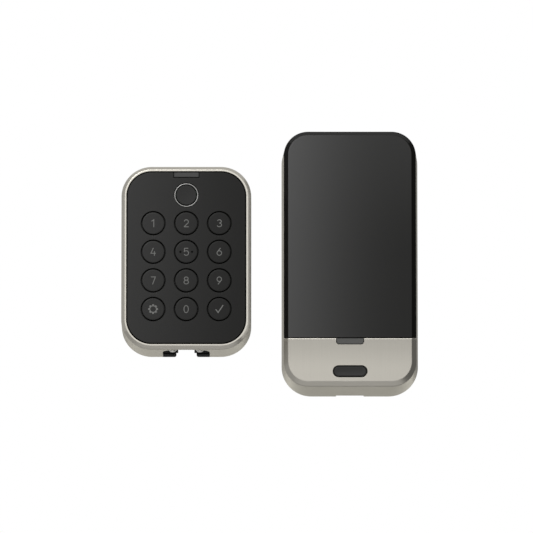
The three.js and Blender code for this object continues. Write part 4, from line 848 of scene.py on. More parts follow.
def place_each(*pieces):
    """Places pieces whose functions are named as their nodes are."""
    for piece in pieces:
        place(piece(), piece.__name__)


# ---- outside unit ----
def outside_outline(inset, steps=CORNER_STEPS):
    return rounded(OUTSIDE_WIDTH - 2 * inset, OUTSIDE_HEIGHT - 2 * inset,
                   OUTSIDE_CORNER - inset, OUTSIDE_X, 0, steps)


def bay_plan(clearance):
    """The bay's plan in X and Y: straight sides from the back and a full-shouldered arch in front. With
    no clearance it is the room cut for the terminal block, and runs out past the back."""
    half, steps, fullness, past_back = BAY_WIDTH / 2 - clearance, 40, 3, 0.4
    arch = []
    for step in range(steps + 1):
        across = -math.cos(math.pi * step / steps)
        depth = BAY_ARCH * (1 - (1 - abs(across) ** fullness) ** (1 / fullness))
        arch.append((OUTSIDE_X + half * across, BAY_FRONT + clearance + depth))
    back = OUTSIDE_BACK if clearance else past_back
    return arch + [(OUTSIDE_X + half, back), (OUTSIDE_X - half, back)]


def outside_housing():
    """A hooped wall with a bevelled rim and a ledge behind the face, two screw bosses, and the bay."""
    back_ease, lip = 0.25, 0.12
    ledge = FACE_INSET + LEDGE_WIDTH
    profile = [(OUTSIDE_WALL, OUTSIDE_BACK), (back_ease, OUTSIDE_BACK), (0.0, OUTSIDE_BACK - back_ease)]
    profile += [(inset, OUTSIDE_FRONT + drop) for inset, drop in bevelled(OUTSIDE_EDGE, 0.2)]
    profile += [(FACE_INSET - lip, OUTSIDE_FRONT), (FACE_INSET, OUTSIDE_FRONT + lip),
                (FACE_INSET, LEDGE_FRONT), (ledge, LEDGE_FRONT), (ledge, LEDGE_BACK),
                (OUTSIDE_WALL, LEDGE_BACK)]
    wall = stack([(y, outside_outline(inset, HOUSING_STEPS)) for inset, y in profile], hooped=True)
    boss_root, bore_depth = LEDGE_BACK - 0.7, 8.0
    bosses = [rod(BOSS_RADIUS, PLATE_FRONT - FIT, boss_root, centre) for centre in OUTSIDE_BOSSES]
    holes = [rod(SCREW_HOLE, 1, PLATE_BACK - bore_depth, centre) for centre in OUTSIDE_BOSSES]
    bay = upright(bay_plan(0), UNDERSIDE - 1, UNDERSIDE + BLOCK_HEIGHT)
    return cut(joined(wall, *bosses), *holes, bay)


def face_plate():
    """The glossy face, with a hole for each key and for the ring, and a notch for the window."""
    holes = [circle(*centre_of(node), KEY_RADIUS + KEY_GAP) for node in KEY_NODES]
    holes.append(circle(*centre_of("fingerprint_ring"), RING_OUTER + FIT))
    outline = outside_outline(FACE_INSET + FACE_GAP, HOUSING_STEPS)
    top, notch_bottom = OUTSIDE_TOP - FACE_INSET - FACE_GAP, extent("status_window")[1].z - 2.85
    left, right = about(OUTSIDE_X, 6.5)
    notch = [(right, top), (right, notch_bottom), (left, notch_bottom), (left, top)]
    past_right_corner = 2 * (HOUSING_STEPS + 1)
    outline[past_right_corner:past_right_corner] = notch
    return slab(outline, FACE_BACK, FACE_FRONT, holes, edge=0.18)


# ---- key symbols: strokes about each key's own centre ----
STROKE = 0.38
PRINT_RISE, PRINT_ROOT = 0.03, 0.05
DIGIT_END = 2.0
DIGIT_TOP = DIGIT_END - STROKE / 2  # the middle of a stroke along a digit's top


def arc(x, z, radius, start, end, steps, tall=1.0):
    """Points round a circle, or an oval where tall isn't 1, between two angles in degrees."""
    span = [math.radians(start + (end - start) * i / steps) for i in range(steps + 1)]
    return [(x + radius * math.cos(a), z + radius * tall * math.sin(a)) for a in span]


def ribbon(path, width=STROKE):
    """A stroke along an open path, with square ends and mitred corners. Its one outline is in a tuple."""
    left, right = [], []
    for i, point in enumerate(path):
        here = Vector(point)
        into = (here - Vector(path[i - 1])).normalized() if i else None
        out = (Vector(path[i + 1]) - here).normalized() if i + 1 < len(path) else None
        along = ((into or out) + (out or into)).normalized()
        reach = max(along.dot(out or into), 0.35)
        side = Vector((along.y, -along.x)) * (width / 2 / reach)
        right.append(tuple(here + side))
        left.append(tuple(here - side))
    return (right + left[::-1],)


def oval(x, z, half_width, half_height):
    """A closed stroke: its outer and inner outline."""
    loops = []
    for grow in (STROKE / 2, -STROKE / 2):
        tall = (half_height + grow) / (half_width + grow)
        loops.append(arc(x, z, half_width + grow, 0, 360, 56, tall)[:-1])
    return tuple(loops)


def cog():
    """The settings symbol: a small wheel with eight blunt teeth and a round hole."""
    root, tip, hole, teeth = 1.95, 2.5, 1.45, 8
    points = []
    for tooth in range(teeth):
        middle = math.pi / 2 + tooth * 2 * math.pi / teeth
        for radius, turn in ((root, -0.25), (tip, -0.17), (tip, 0.17), (root, 0.25)):
            points.append((radius * math.cos(middle + turn), radius * math.sin(middle + turn)))
    return points, circle(0, 0, hole, SMALL_SIDES)


def half_turn(shape):
    return tuple([(-x, -z) for x, z in loop] for loop in shape)


SIX = [oval(0, -0.62, 1.13, 1.16), ribbon([(0.62, DIGIT_END), (-1.0, -0.1)])]
SYMBOLS = {
    "key_1": [ribbon([(-0.85, 1.0), (0.25, DIGIT_TOP + 0.02), (0.25, -DIGIT_END)])],
    "key_2": [ribbon(arc(0, 0.72, 1.06, 168, -32, 26) + [(-1.1, -DIGIT_TOP)]),
              ribbon([(-1.24, -DIGIT_TOP), (1.22, -DIGIT_TOP)])],
    "key_3": [ribbon(arc(0, 0.94, 1.0, 158, -94, 28, 0.84)),
              ribbon(arc(0, -0.84, 1.14, 93, -160, 30, 0.825))],
    "key_4": [ribbon([(0.1, DIGIT_END), (-1.2, -0.75), (1.3, -0.75)]),
              ribbon([(0.62, 0.35), (0.62, -DIGIT_END)])],
    "key_5": [ribbon([(1.05, DIGIT_TOP), (-0.85, DIGIT_TOP), (-0.98, 0.22)]
                     + arc(0.0, -0.62, 1.16, 118, -152, 30))],
    "key_6": SIX,
    "key_7": [ribbon([(-1.15, DIGIT_TOP), (1.1, DIGIT_TOP), (-0.3, -DIGIT_END)])],
    "key_8": [oval(0, 0.94, 0.96, 0.84), oval(0, -0.84, 1.14, 0.94)],
    "key_9": [half_turn(shape) for shape in SIX],
    "key_0": [oval(0, 0, 1.1, DIGIT_TOP)],
    "key_enter": [ribbon([(-1.75, -0.15), (-0.55, -1.75), (1.95, 2.0)], 0.5)],
    "key_settings": [cog()],
}


def symbol(node):
    """A key's printed symbol, as one thin raised shape on its cap."""
    cx, cz = centre_of(node)
    strokes = []
    for loops in SYMBOLS[node]:
        moved = [[(cx + x, cz + z) for x, z in loop] for loop in loops]
        strokes.append(slab(moved[0], FACE_FRONT + PRINT_ROOT, FACE_FRONT - PRINT_RISE, moved[1:]))
    return joined(strokes[0], *strokes[1:]) if len(strokes) > 1 else strokes[0]


def dimpled(cap, node):
    """Sinks a small dimple at each side of the middle key's digit, and gives its skin a matt black as
    painted shade in the dimples.
    """
    cx, cz = centre_of(node)
    beside, reach, deepest, past_front = 2.95, 0.65, FACE_FRONT + 0.4, FACE_FRONT - 1
    profile = [(0, deepest), (0.35, FACE_FRONT + 0.34), (0.56, FACE_FRONT + 0.15), (0.62, past_front),
               (0, past_front)]
    cap = cut(cap, *[turned(profile, (cx + side * beside, cz), SMALL_SIDES) for side in (-1, 1)])
    # the dimples take matt black as painted shade
    for face in cap.data.polygons:
        middle = face.center
        near = abs(abs(middle.x - cx) - beside) < reach and abs(middle.z - cz) < reach
        if near and FACE_FRONT + 0.01 < middle.y < deepest + 0.1:
            face.material_index = 2
    return cap


def key_cap(node):
    """A round key: a flat cap, the flange that holds it behind the face, and a pocket for its dome."""
    back, flange_front = extent(node)[1].y, FACE_BACK + FIT
    flange, pocket, pocket_floor = KEY_RADIUS + KEY_GAP + 0.7, 4.0, back - 0.9
    profile = softened([(KEY_RADIUS, flange_front), (flange, flange_front), (flange, back), (pocket, back),
                        (pocket, pocket_floor), (0, pocket_floor)], 0.12, 2)
    face = [(0, FACE_FRONT), (KEY_RADIUS - 0.9, FACE_FRONT)]
    face += [(KEY_RADIUS - inset, FACE_FRONT + drop) for inset, drop in reversed(rounding(0.3, 5))]
    cap = turned(face + profile, centre_of(node))
    if node == MIDDLE_KEY:
        cap = dimpled(cap, node)
    mark = symbol(node)
    for face in mark.data.polygons:
        face.material_index = 1
    return gathered(cap, mark)


def fingerprint_ring():
    front, back, flange = FACE_BACK + FIT, extent("fingerprint_ring")[1].y, 7.05
    profile = [(RING_INNER, FACE_FRONT), (RING_OUTER, FACE_FRONT), (RING_OUTER, front), (flange, front),
               (flange, back), (RING_INNER, back), (RING_INNER, FACE_FRONT)]
    return turned(softened(profile, 0.08), centre_of("fingerprint_ring"))


def fingerprint_sensor():
    """The sensing disc, dished very slightly."""
    low, high = extent("fingerprint_sensor")
    radius, dish_depth = (high.x - low.x) / 2, 0.08
    dish = [(radius * share, FACE_FRONT + dish_depth * (1 - share * share))
            for share in (0, 0.25, 0.5, 0.75, 0.92)]
    edge = softened([dish[-1], (radius, FACE_FRONT), (radius, high.y), (0, high.y)], 0.2)
    return turned(dish[:-1] + edge, centre_of("fingerprint_sensor"))


def status_window():
    """The smoked pane in the face's notch, the flange behind the face, and the light pipe. All of it but the
    pane's front is black, as painted shade in the gap round the pane.
    """
    low, high = extent("status_window")
    top, bottom = high.z - 0.2, high.z - 2.55
    pane_width, pane_corner = high.x - low.x + 0.4, 0.3
    outline = rounded(pane_width, top - bottom, pane_corner, OUTSIDE_X, (top + bottom) / 2, 5)
    pane = slab(outline, FACE_BACK, FACE_FRONT, edge=0.16)
    pipe_across = about(OUTSIDE_X, 2.5)
    ledge_inside = OUTSIDE_TOP - FACE_INSET - LEDGE_WIDTH - FIT
    neck = block(pipe_across, (FACE_BACK + FIT, FACE_BACK - 0.3), (bottom, ledge_inside))
    pipe = block(pipe_across, (high.y, FACE_BACK + FIT), (bottom - 1.8, ledge_inside))
    # the flange is a dark liner behind the gap round the pane: painted shade
    flange = block(about(OUTSIDE_X, 7.3), (FACE_BACK + 0.24, FACE_BACK - 0.1), (bottom - 0.9, top - 0.2))
    window = joined(pane, flange, neck, pipe)
    # all but the pane's front takes black: painted shade in the gap round the pane
    for face in window.data.polygons:
        face.material_index = 1 if face.center.y > FACE_FRONT + 0.2 else 0
    return window


def terminal_block():
    """Two legs and two contact shelves under one bridge."""
    body = upright(bay_plan(0.05), UNDERSIDE, UNDERSIDE + BLOCK_HEIGHT - FIT)
    ceiling, below, shelf_lift = UNDERSIDE + 5.2, UNDERSIDE - 1, UNDERSIDE + 0.7
    half, throat, foot = 5.1, 4.1, 1.0
    side = [(half + foot, below)] + [(half + drop, UNDERSIDE + inset) for inset, drop in rounding(foot, 6)]
    side.append((half, ceiling))
    outline = [(OUTSIDE_X + x, z) for x, z in side] + [(OUTSIDE_X - x, z) for x, z in side[::-1]]
    channel = slab(outline, 1, LEG_FRONT)
    inner = block(about(OUTSIDE_X, throat), (LEG_FRONT + 1, OUTSIDE_FRONT), (below, ceiling))
    shelf = block(about(OUTSIDE_X, BAY_WIDTH), (LEG_FRONT, OUTSIDE_FRONT), (below, shelf_lift))
    stem_room, disc_room = (TERMINAL_STEM + FIT, UNDERSIDE + 5.6), (TERMINAL_DISC + 0.2, UNDERSIDE + 1.7)
    pockets = [upright(circle(x, TERMINAL_Y, radius, SMALL_SIDES), UNDERSIDE, top)
               for x in about(OUTSIDE_X, TERMINAL_X) for radius, top in (stem_room, disc_room)]
    return eased(cut(body, channel, inner, shelf, *pockets), 0.22)


def terminal(node, side):
    """A contact: a disc with a round nub, on a stem."""
    stem_top = extent(node)[1].z
    nub, face, top = UNDERSIDE + 0.05, UNDERSIDE + 1.0, UNDERSIDE + 1.6
    nub_radius, nub_round = 1.5, 0.55
    profile = [(0, nub)]
    profile += [(nub_radius - inset, nub + drop) for inset, drop in reversed(rounding(nub_round, 6))]
    profile += softened([(nub_radius, face), (TERMINAL_DISC, face + 0.1), (TERMINAL_DISC, top),
                         (TERMINAL_STEM, top), (TERMINAL_STEM, stem_top), (0, stem_top)], 0.18)[1:]
    return turned_up(profile, OUTSIDE_X + side * TERMINAL_X, TERMINAL_Y, GEAR_SIDES)


def bay_notch(back, front, low):
    """The room that the plate and the gasket leave for the terminal block."""
    return block(about(OUTSIDE_X, BAY_WIDTH / 2), (back, front), (low, UNDERSIDE + BLOCK_HEIGHT + FIT))


def back_plate():
    post_hole, cable_hole = 4.3, 7.0
    holes = [circle(x, BORE_Z, post_hole) for x in about(OUTSIDE_X, POST_X)]
    holes += [circle(*centre, SCREW_HOLE, SMALL_SIDES) for centre in OUTSIDE_BOSSES]
    holes.append(circle(OUTSIDE_X, BORE_Z, cable_hole))
    body = slab(outside_outline(OUTSIDE_WALL + FIT), PLATE_FRONT, PLATE_BACK, holes, edge=0.25)
    return cut(body, bay_notch(0, PLATE_FRONT - 1, UNDERSIDE))


def back_gasket():
    low, high = extent("back_gasket")
    opening = circle(OUTSIDE_X, BORE_Z, 24.0, 128)
    pad = slab(outside_outline(OUTSIDE_WALL + FIT), low.y, high.y, [opening], edge=0.25)
    rooms = [rod(SCREW_HEAD + FIT, high.y + 1, low.y - 1, centre, 54) for centre in OUTSIDE_BOSSES]
    return cut(pad, *rooms, bay_notch(high.y + 1, low.y - 1, UNDERSIDE - 1))


def mounting_post(node):
    """A brass post with a threaded hole, open towards the door."""
    low, high = extent(node)
    outer, mouth, root, crest, pitch = 4.0, 2.5, 2.28, 2.0, 0.7
    thread = []
    along = high.y - 0.6
    while along > low.y + 3.6 + pitch:
        thread += [(crest, along), (root, along - pitch / 2)]
        along -= pitch
    profile = [(mouth, high.y), (outer - 0.3, high.y), (outer, high.y - 0.3), (outer, low.y + 0.4),
               (outer - 0.4, low.y), (0, low.y), (0, low.y + 3.0), (crest, low.y + 3.6)]
    return turned(profile + thread[::-1] + [(mouth, high.y)], centre_of(node), 64)


def screw(node, seat, direction):
    """A pan-head screw with a cross recess, driven along Y in the given direction."""
    low, high = extent(node)
    tip = high.y if direction > 0 else low.y
    top, root, half_pitch = seat - direction * 1.1, 1.16, 0.3
    thread = []
    along = seat + direction * 0.9
    while abs(tip - along) > 1.3:
        thread += [(SCREW_RADIUS, along), (root, along + direction * half_pitch)]
        along += direction * 2 * half_pitch
    head = [(1.2, top), (SCREW_HEAD, top + direction * 0.12), (SCREW_HEAD, seat), (SCREW_RADIUS, seat)]
    profile = [(0, top)] + softened(head, 0.4, 4) + [(1.2, seat + direction * 0.5)] + thread
    profile += [(root, along), (0.35, tip), (0, tip)]
    cx, cz = centre_of(node)
    body = turned(profile, (cx, cz), 48)
    recess, arm, arm_half = (top - direction, top + direction * 0.75), 1.25, 0.27
    return cut(body, block(about(cx, arm), recess, about(cz, arm_half)),
               block(about(cx, arm_half), recess, about(cz, arm)))


def primed_inside(housing):
    """Paints the housing's inner walls and ledge black, as painted shade that shows in the gap round the
    face.
    """
    slack = 0.02
    half_width = OUTSIDE_WIDTH / 2 - FACE_INSET + slack
    half_height = OUTSIDE_HEIGHT / 2 - FACE_INSET + slack
    corner = OUTSIDE_CORNER - FACE_INSET
    for face in housing.data.polygons:
        middle = face.center / MM
        dx, dz = abs(middle.x - OUTSIDE_X), abs(middle.z)
        past = Vector((max(dx - half_width + corner, 0), max(dz - half_height + corner, 0)))
        if past.length < corner and dx < half_width and dz < half_height:
            face.material_index = 1


def make_outside_unit():
    # the housing's inner walls and ledge are painted black as shade in the gap round the face
    primed_inside(place(outside_housing(), "outside_housing", prints_and_shade=["moulded_black"]))
    place_each(face_plate)
    for node in KEY_NODES:
        place(key_cap(node), node, prints_and_shade=["print_grey", "moulded_black"][:2 if node == MIDDLE_KEY else 1])
    place_each(fingerprint_ring, fingerprint_sensor)
    place(status_window(), "status_window", prints_and_shade=["moulded_black"])
    place_each(terminal_block)
    for side, hand in ((-1, "left"), (1, "right")):
        place(terminal("terminal_" + hand, side), "terminal_" + hand)
        place(mounting_post("mounting_post_" + hand), "mounting_post_" + hand)
    place_each(back_plate, back_gasket)
    for node in ("outside_screw_1", "outside_screw_2"):
        place(screw(node, PLATE_BACK + FIT, -1), node)


make_outside_unit()


# ---- inside unit ----
def inside_outline(y, inset):
    """The inside unit's drafted wall at depth y."""
    share = (INSIDE_BACK - y) / (INSIDE_BACK - EDGE_BACK)
    return rounded(INSIDE_WIDTH - 2 * SIDE_DRAFT * share - 2 * inset,
                   2 * (INSIDE_TOP - END_DRAFT * share) - 2 * inset,
                   INSIDE_CORNER - CORNER_DRAFT * share - inset, 0, 0, INSIDE_STEPS)


def front_outline(inset):
    width, height = FRONT_WIDTH - 2 * inset, FRONT_HEIGHT - 2 * inset
    return rounded(width, height, FRONT_CORNER - inset, 0, 0, INSIDE_STEPS)


def drafted_shell(back, back_ease):
    """A solid with the inside unit's drafted walls from a depth forward, and its bevelled front edge."""
    full = back - back_ease
    rings = [(back, inside_outline(back, back_ease)), (full, inside_outline(full, 0))]
    edge = bevelled(INSIDE_EDGE - 0.2, 0.3)
    return stack(rings + [(INSIDE_FRONT + drop, front_outline(inset)) for inset, drop in edge])


def pill(width, height, z):
    return rounded(width, height, height / 2, 0, z, INSIDE_STEPS)


def latch_outline(gap):
    return rounded(13.5 + 2 * gap, 2 * (2.8 + gap), 1.3 + gap, 0, SEAM_Z, 8)


def seam_chamfer():
    """The wedge that takes the edge off the housing's front where it meets the cover."""
    wedge = block(ACROSS, (INSIDE_FRONT - 1, INSIDE_FRONT), (SEAM_Z - SEAM_CHAMFER, SEAM_Z + 1))
    for v in wedge.data.vertices:
        if v.co.y > INSIDE_FRONT - 0.5:
            v.co.y += (v.co.z - SEAM_Z + SEAM_CHAMFER) * SEAM_SLOPE
    return wedge


def soften_openings(bm):
    """Breaks the cut edges of the openings in the housing's front with small rounds."""
    sharp = [e for e in folds(bm) if e.calc_face_angle(0) > math.radians(34)]
    rim = [e for e in sharp if all(v.co.y < INSIDE_FRONT + 0.02 and v.co.z < SEAM_Z - 0.5 for v in e.verts)]
    bmesh.ops.bevel(bm, geom=rim, offset=0.22, segments=3, profile=0.5, affect="EDGES", clamp_overlap=True)


def inside_housing():
    """The drafted shell, cut away for the battery cover, the latch and the button, with a notch at the
    bottom of its back, screw bosses, and lugs over the battery tray."""
    front, top = INSIDE_FRONT - 1, INSIDE_TOP + 1
    cavity = stack([(y, inside_outline(y, INSIDE_WALL)) for y in (1, SKIN_BACK)])
    cover_room = block(ACROSS, (EDGE_BACK + FIT, front), (SEAM_Z, top))
    top_room = block(ACROSS, (SKIRT_BACK + FIT, front), (TOP_STEP_Z, top))
    latch_room = slab(latch_outline(FIT), SKIN_BACK + 1, front)
    button_hole = slab(pill(BUTTON_WIDTH + 2 * BUTTON_GAP, BUTTON_HEIGHT + 2 * BUTTON_GAP, BUTTON_CAP_Z),
                       SKIN_BACK + 1, front)
    notch_width, notch_depth, notch_top, notch_low = 14.0, 2.1, INSIDE_BOTTOM + 3.4, INSIDE_BOTTOM - 1.0
    notch = slab(rounded(notch_width, notch_top - notch_low, 0.8, 0, (notch_top + notch_low) / 2, 5),
                 1, INSIDE_BACK - notch_depth)
    shell = cut(drafted_shell(INSIDE_BACK, 0.25), cavity, cover_room, top_room, latch_room, button_hole,
                notch, seam_chamfer())
    bosses = [rod(BOSS_RADIUS, CHASSIS_FRONT - FIT, SKIN_BACK - 0.5, centre) for centre in INSIDE_BOSSES]
    lugs = [block(about(side * 12, 2), (CHASSIS_FRONT - FIT, CHASSIS_FRONT - 3.3),
                  (extent("battery_tray")[1].z + FIT, INSIDE_TOP - 1.1)) for side in (-1, 1)]
    holes = [rod(SCREW_HOLE, 1, CHASSIS_BACK - 7, centre) for centre in INSIDE_BOSSES]
    shell = cut(joined(shell, *bosses, *lugs), *holes)
    return cleaned(shell, 0.003, flat_below=math.radians(0.3), last=soften_openings)


def cover_latch():
    """A thumb tab in the seam, the flange behind the housing's skin, and the nose that holds the cover."""
    flange_front, proud = SKIN_BACK + FIT, 0.15
    flange_back = flange_front + 0.9
    bottom = SEAM_Z - 3.07
    tab = slab(latch_outline(0), flange_back, INSIDE_FRONT + proud, edge=0.2)
    tab = cut(tab, block(ACROSS, (0, INSIDE_FRONT - 1), (SEAM_Z, 0)))
    flange = block(about(0, 9), (flange_back, flange_front), (bottom - 2.2, SEAM_Z))
    nose = block(about(0, 4), (flange_back, COVER_SKIN_BACK + FIT), (bottom, SEAM_Z + 2.5))
    return joined(tab, flange, nose)


def battery_cover():
    """The front from the seam up, with a skirt over the top, side rails, ribs and two hooked tongues."""
    hollow = slab(front_outline(INSIDE_WALL), 0, COVER_SKIN_BACK)
    below = block(ACROSS, (0, INSIDE_FRONT - 1), (INSIDE_BOTTOM - 1, COVER_BOTTOM))
    sides = block(ACROSS, (0, EDGE_BACK), (INSIDE_BOTTOM - 1, TOP_STEP_Z + FIT))
    rail_out = FRONT_WIDTH / 2 - INSIDE_WALL - FIT
    fused, tongue_back = COVER_SKIN_BACK - 0.6, DECK_FRONT - FIT
    extras = []
    for side in (-1, 1):
        tongue = about(side * 17, 7)
        extras += [
            block((side * rail_out, side * (rail_out - 1.4)), (COVER_SKIN_BACK + 3, fused),
                  (COVER_BOTTOM + 3, TOP_STEP_Z)),
            block(tongue, (tongue_back, fused), (COVER_BOTTOM, COVER_BOTTOM + 2)),
            block(tongue, (tongue_back, DECK_FRONT - 1.1), (COVER_BOTTOM - 3.5, COVER_BOTTOM + 1))]
    ribs = [block(about(x, 0.5), (COVER_SKIN_BACK + 0.7, fused), (-10, 48)) for x in (-15, 0, 15)]
    cover = cut(drafted_shell(SKIRT_BACK, 0.2), hollow, below, sides)
    return eased(joined(cover, *extras, *ribs), 0.14)


def lock_button():
    """A pill-shaped button with a shallow dish along its face, on a flange behind the skin."""
    back, flange_front = extent("lock_button")[1].y, SKIN_BACK + FIT
    flange_width, flange_height, flange_ease = 19.5, 8.3, 0.1
    rings = [(back, pill(flange_width, flange_height, BUTTON_Z)),
             (flange_front + flange_ease, pill(flange_width, flange_height, BUTTON_Z)),
             (flange_front, pill(flange_width - 2 * flange_ease, flange_height - 2 * flange_ease, BUTTON_Z)),
             (flange_front, pill(BUTTON_WIDTH, BUTTON_HEIGHT, BUTTON_CAP_Z))]
    face = bevelled(0.4, 0.15) + [(1.05, 0.04), (1.75, 0.09), (2.35, 0.11)]
    rings += [(INSIDE_FRONT + drop, pill(BUTTON_WIDTH - 2 * inset, BUTTON_HEIGHT - 2 * inset, BUTTON_CAP_Z))
              for inset, drop in face]
    return stack(rings)


def mounting_plate():
    low, high = extent("mounting_plate")
    holes = [circle(*SPINDLE, 6.6), rounded(*CABLE_SLOT)]
    holes += [rounded(5.4, 9.0, 2.7, x, z) for x, z in BOLTS]
    holes += [circle(*centre, SCREW_HOLE, SMALL_SIDES) for centre in PLATE_SCREWS]
    outline = rounded(high.x - low.x, high.z - low.z, 8, 0, (low.z + high.z) / 2)
    return slab(outline, high.y, low.y, holes, edge=0.2, back_edge=0.2)


def standing_boss(centre, radius, front, bore=0.0, floor=0.0, sides=SMALL_SIDES):
    """A round boss on the chassis plate's front, with a bore down to a floor where asked."""
    root_ease, tip_ease = 0.25, 0.2
    steps = [(CHASSIS_FRONT, radius + root_ease), (CHASSIS_FRONT - root_ease, radius),
             (front + tip_ease, radius), (front, radius - tip_ease)]
    if bore:
        steps += [(front, bore), (floor, bore)]
    return [(y, circle(*centre, reach, sides)) for y, reach in steps]


def chassis_plate():
    """The plate that carries the works, with its motor cup, idler boss, standoffs and button posts."""
    board_back, switch_back = extent("inside_board")[1].y, extent("button_board")[1].y
    holes = [circle(*SPINDLE, 6.15), rounded(*CABLE_SLOT)]
    holes += [circle(*centre, 5.5) for centre in BOLTS]
    holes += [circle(*centre, SCREW_HOLE, SMALL_SIDES) for centre in INSIDE_BOSSES + PLATE_SCREWS]
    cup = standing_boss(centre_of("drive_motor"), 8.5, CHASSIS_FRONT - 3.4, 7.3, CHASSIS_FRONT, GEAR_SIDES)
    axle = standing_boss(centre_of("idler_gear"), 3.4, TEETH_BACK + FIT, 1.8, CHASSIS_FRONT - FIT)
    standoffs = [standing_boss((x, z), 2.0, board_back + FIT)
                 for x in about(0, 19.5) for z in (-17.0, -40.0)]
    posts = [standing_boss((x, BUTTON_Z), 2.2, switch_back + FIT) for x in about(0, 10.5)]
    return slab(inside_outline(CHASSIS_FRONT, INSIDE_WALL + FIT), CHASSIS_BACK, CHASSIS_FRONT, holes,
                edge=0.15, back_edge=0.2, on_front=[cup, axle] + standoffs + posts)


# ---- gear train ----
def gear_outline(teeth, centre, phase):
    """A toothed outline with involute flanks, with a tooth centred on the angle phase."""
    pitch_radius = MODULE * teeth / 2
    base_radius = pitch_radius * math.cos(PRESSURE)
    tip, root = pitch_radius + 0.8 * MODULE, pitch_radius - 1.1 * MODULE
    backlash, fillet, tip_ease = 0.08, 0.06, 0.035
    half_tooth = (math.pi * MODULE / 2 - backlash) / (2 * pitch_radius)

    def half_angle(radius):
        slope = math.acos(min(1, base_radius / max(radius, base_radius)))
        return half_tooth + math.tan(PRESSURE) - PRESSURE - (math.tan(slope) - slope)

    flank = [(root, fillet)]
    flank += [(root + (tip - root) * share, 0) for share in (0.12, 0.3, 0.5, 0.7, 0.88)]
    flank.append((tip, -tip_ease))
    points = []
    for tooth in range(teeth):
        middle = phase + 2 * math.pi * tooth / teeth
        for side, row in ((-1, flank), (1, flank[::-1])):
            for radius, widening in row:
                angle = middle + side * (half_angle(radius) + widening / pitch_radius)
                points.append((centre[0] + radius * math.cos(angle), centre[1] + radius * math.sin(angle)))
    return points


def mesh_phase(driver_teeth, driver_phase, driver, teeth, centre):
    """The tooth phase that puts a gear in mesh with its driver."""
    angle = math.atan2(centre[1] - driver[1], centre[0] - driver[0])
    turn = (angle - driver_phase) * driver_teeth / (2 * math.pi)
    return angle + math.pi - (0.5 - turn) * 2 * math.pi / teeth


def meshed_centre(centre, teeth, driven_teeth, degrees):
    """Where a gear's centre is that meshes with the one at centre, in a direction from it."""
    distance, angle = MODULE * (teeth + driven_teeth) / 2, math.radians(degrees)
    return centre[0] + distance * math.cos(angle), centre[1] + distance * math.sin(angle)


IDLER = meshed_centre(SPINDLE, SPINDLE_TEETH, PINION_TEETH, 130)
MOTOR = meshed_centre(IDLER, WHEEL_TEETH, PINION_TEETH, 30)


def spindle_gear():
    """The output gear: a dished web, a front stub, and a hub with a square socket for the tailpiece."""
    tip, hub_back = DECK_FRONT + FIT / 2, -0.5
    front = [(TEETH_FRONT, 13.2), (TEETH_FRONT + 0.8, 13.0), (TEETH_FRONT + 0.8, 5.2), (TEETH_FRONT, 5.0),
             (TEETH_FRONT, 3.0), (tip + 0.2, 3.0), (tip, 2.8)]
    hub = [(TEETH_BACK, 6.0), (hub_back - 0.25, 6.0), (hub_back, 5.75)]
    web, back = ([(y, circle(*SPINDLE, radius)) for y, radius in rings] for rings in (front, hub))
    back += [(y, rounded(5.2, 5.2, 0.3, *SPINDLE, 5)) for y in (hub_back, -9.5)]
    return slab(gear_outline(SPINDLE_TEETH, SPINDLE, 0), TEETH_BACK, TEETH_FRONT, edge=0.08,
                on_front=[web], on_back=[back])


def idler_gear():
    """The idler: a wheel that the motor drives, and a pinion that drives the spindle's gear."""
    phase = mesh_phase(SPINDLE_TEETH, 0, SPINDLE, PINION_TEETH, IDLER)
    wheel = slab(gear_outline(WHEEL_TEETH, IDLER, 0), WHEEL_BACK, WHEEL_FRONT, edge=0.08)
    pinion = slab(gear_outline(PINION_TEETH, IDLER, phase), TEETH_BACK, WHEEL_BACK - FIT)
    return cut(joined(wheel, pinion), rod(1.65, 0, INSIDE_FRONT, IDLER))


def motor_pinion():
    phase = mesh_phase(WHEEL_TEETH, 0, IDLER, PINION_TEETH, MOTOR)
    teeth = slab(gear_outline(PINION_TEETH, MOTOR, phase), WHEEL_BACK, WHEEL_FRONT, edge=0.08)
    shaft = rod(1.0, extent("motor_pinion")[1].y, WHEEL_BACK - FIT, MOTOR)
    return joined(teeth, shaft)


def drive_motor():
    """The motor's can, with a rolled groove near its back, an eased front and a bored bearing boss."""
    low, high = extent("drive_motor")
    back, front = high.y, low.y
    can, groove, boss, bore, bore_end = 7.0, 6.8, 3.0, 1.3, front + 3.3
    profile = [(0, back), (6.2, back), (can, back - 0.6), (can, back - 1.6), (groove, back - 1.8),
               (groove, back - 2.2), (can, back - 2.4), (can, front + 1.2), (6.6, front + 0.35),
               (boss + 0.2, front + 0.35), (boss, front), (bore, front), (bore, bore_end), (0, bore_end)]
    return turned(softened(profile, 0.25), centre_of("drive_motor"), GEAR_SIDES)


def gear_deck():
    """A sheet in front of the gears on four posts, with bearings for the spindle and the idler."""
    low, high = extent("gear_deck")
    middle, height, post = (low.z + high.z) / 2, high.z - low.z, 2.4
    holes = [circle(*SPINDLE, 3.15), circle(*IDLER, 1.8, SMALL_SIDES)]
    sheet = slab(rounded(high.x - low.x, height, 2, 0, middle, 10), DECK_BACK, DECK_FRONT, holes, edge=0.25)
    x, z = high.x - post - 0.2, height / 2 - post - 0.2
    corners = [(a * x, middle + b * z) for a in (-1, 1) for b in (-1, 1)]
    return joined(sheet, *[rod(post, high.y, DECK_BACK - 0.6, corner) for corner in corners])


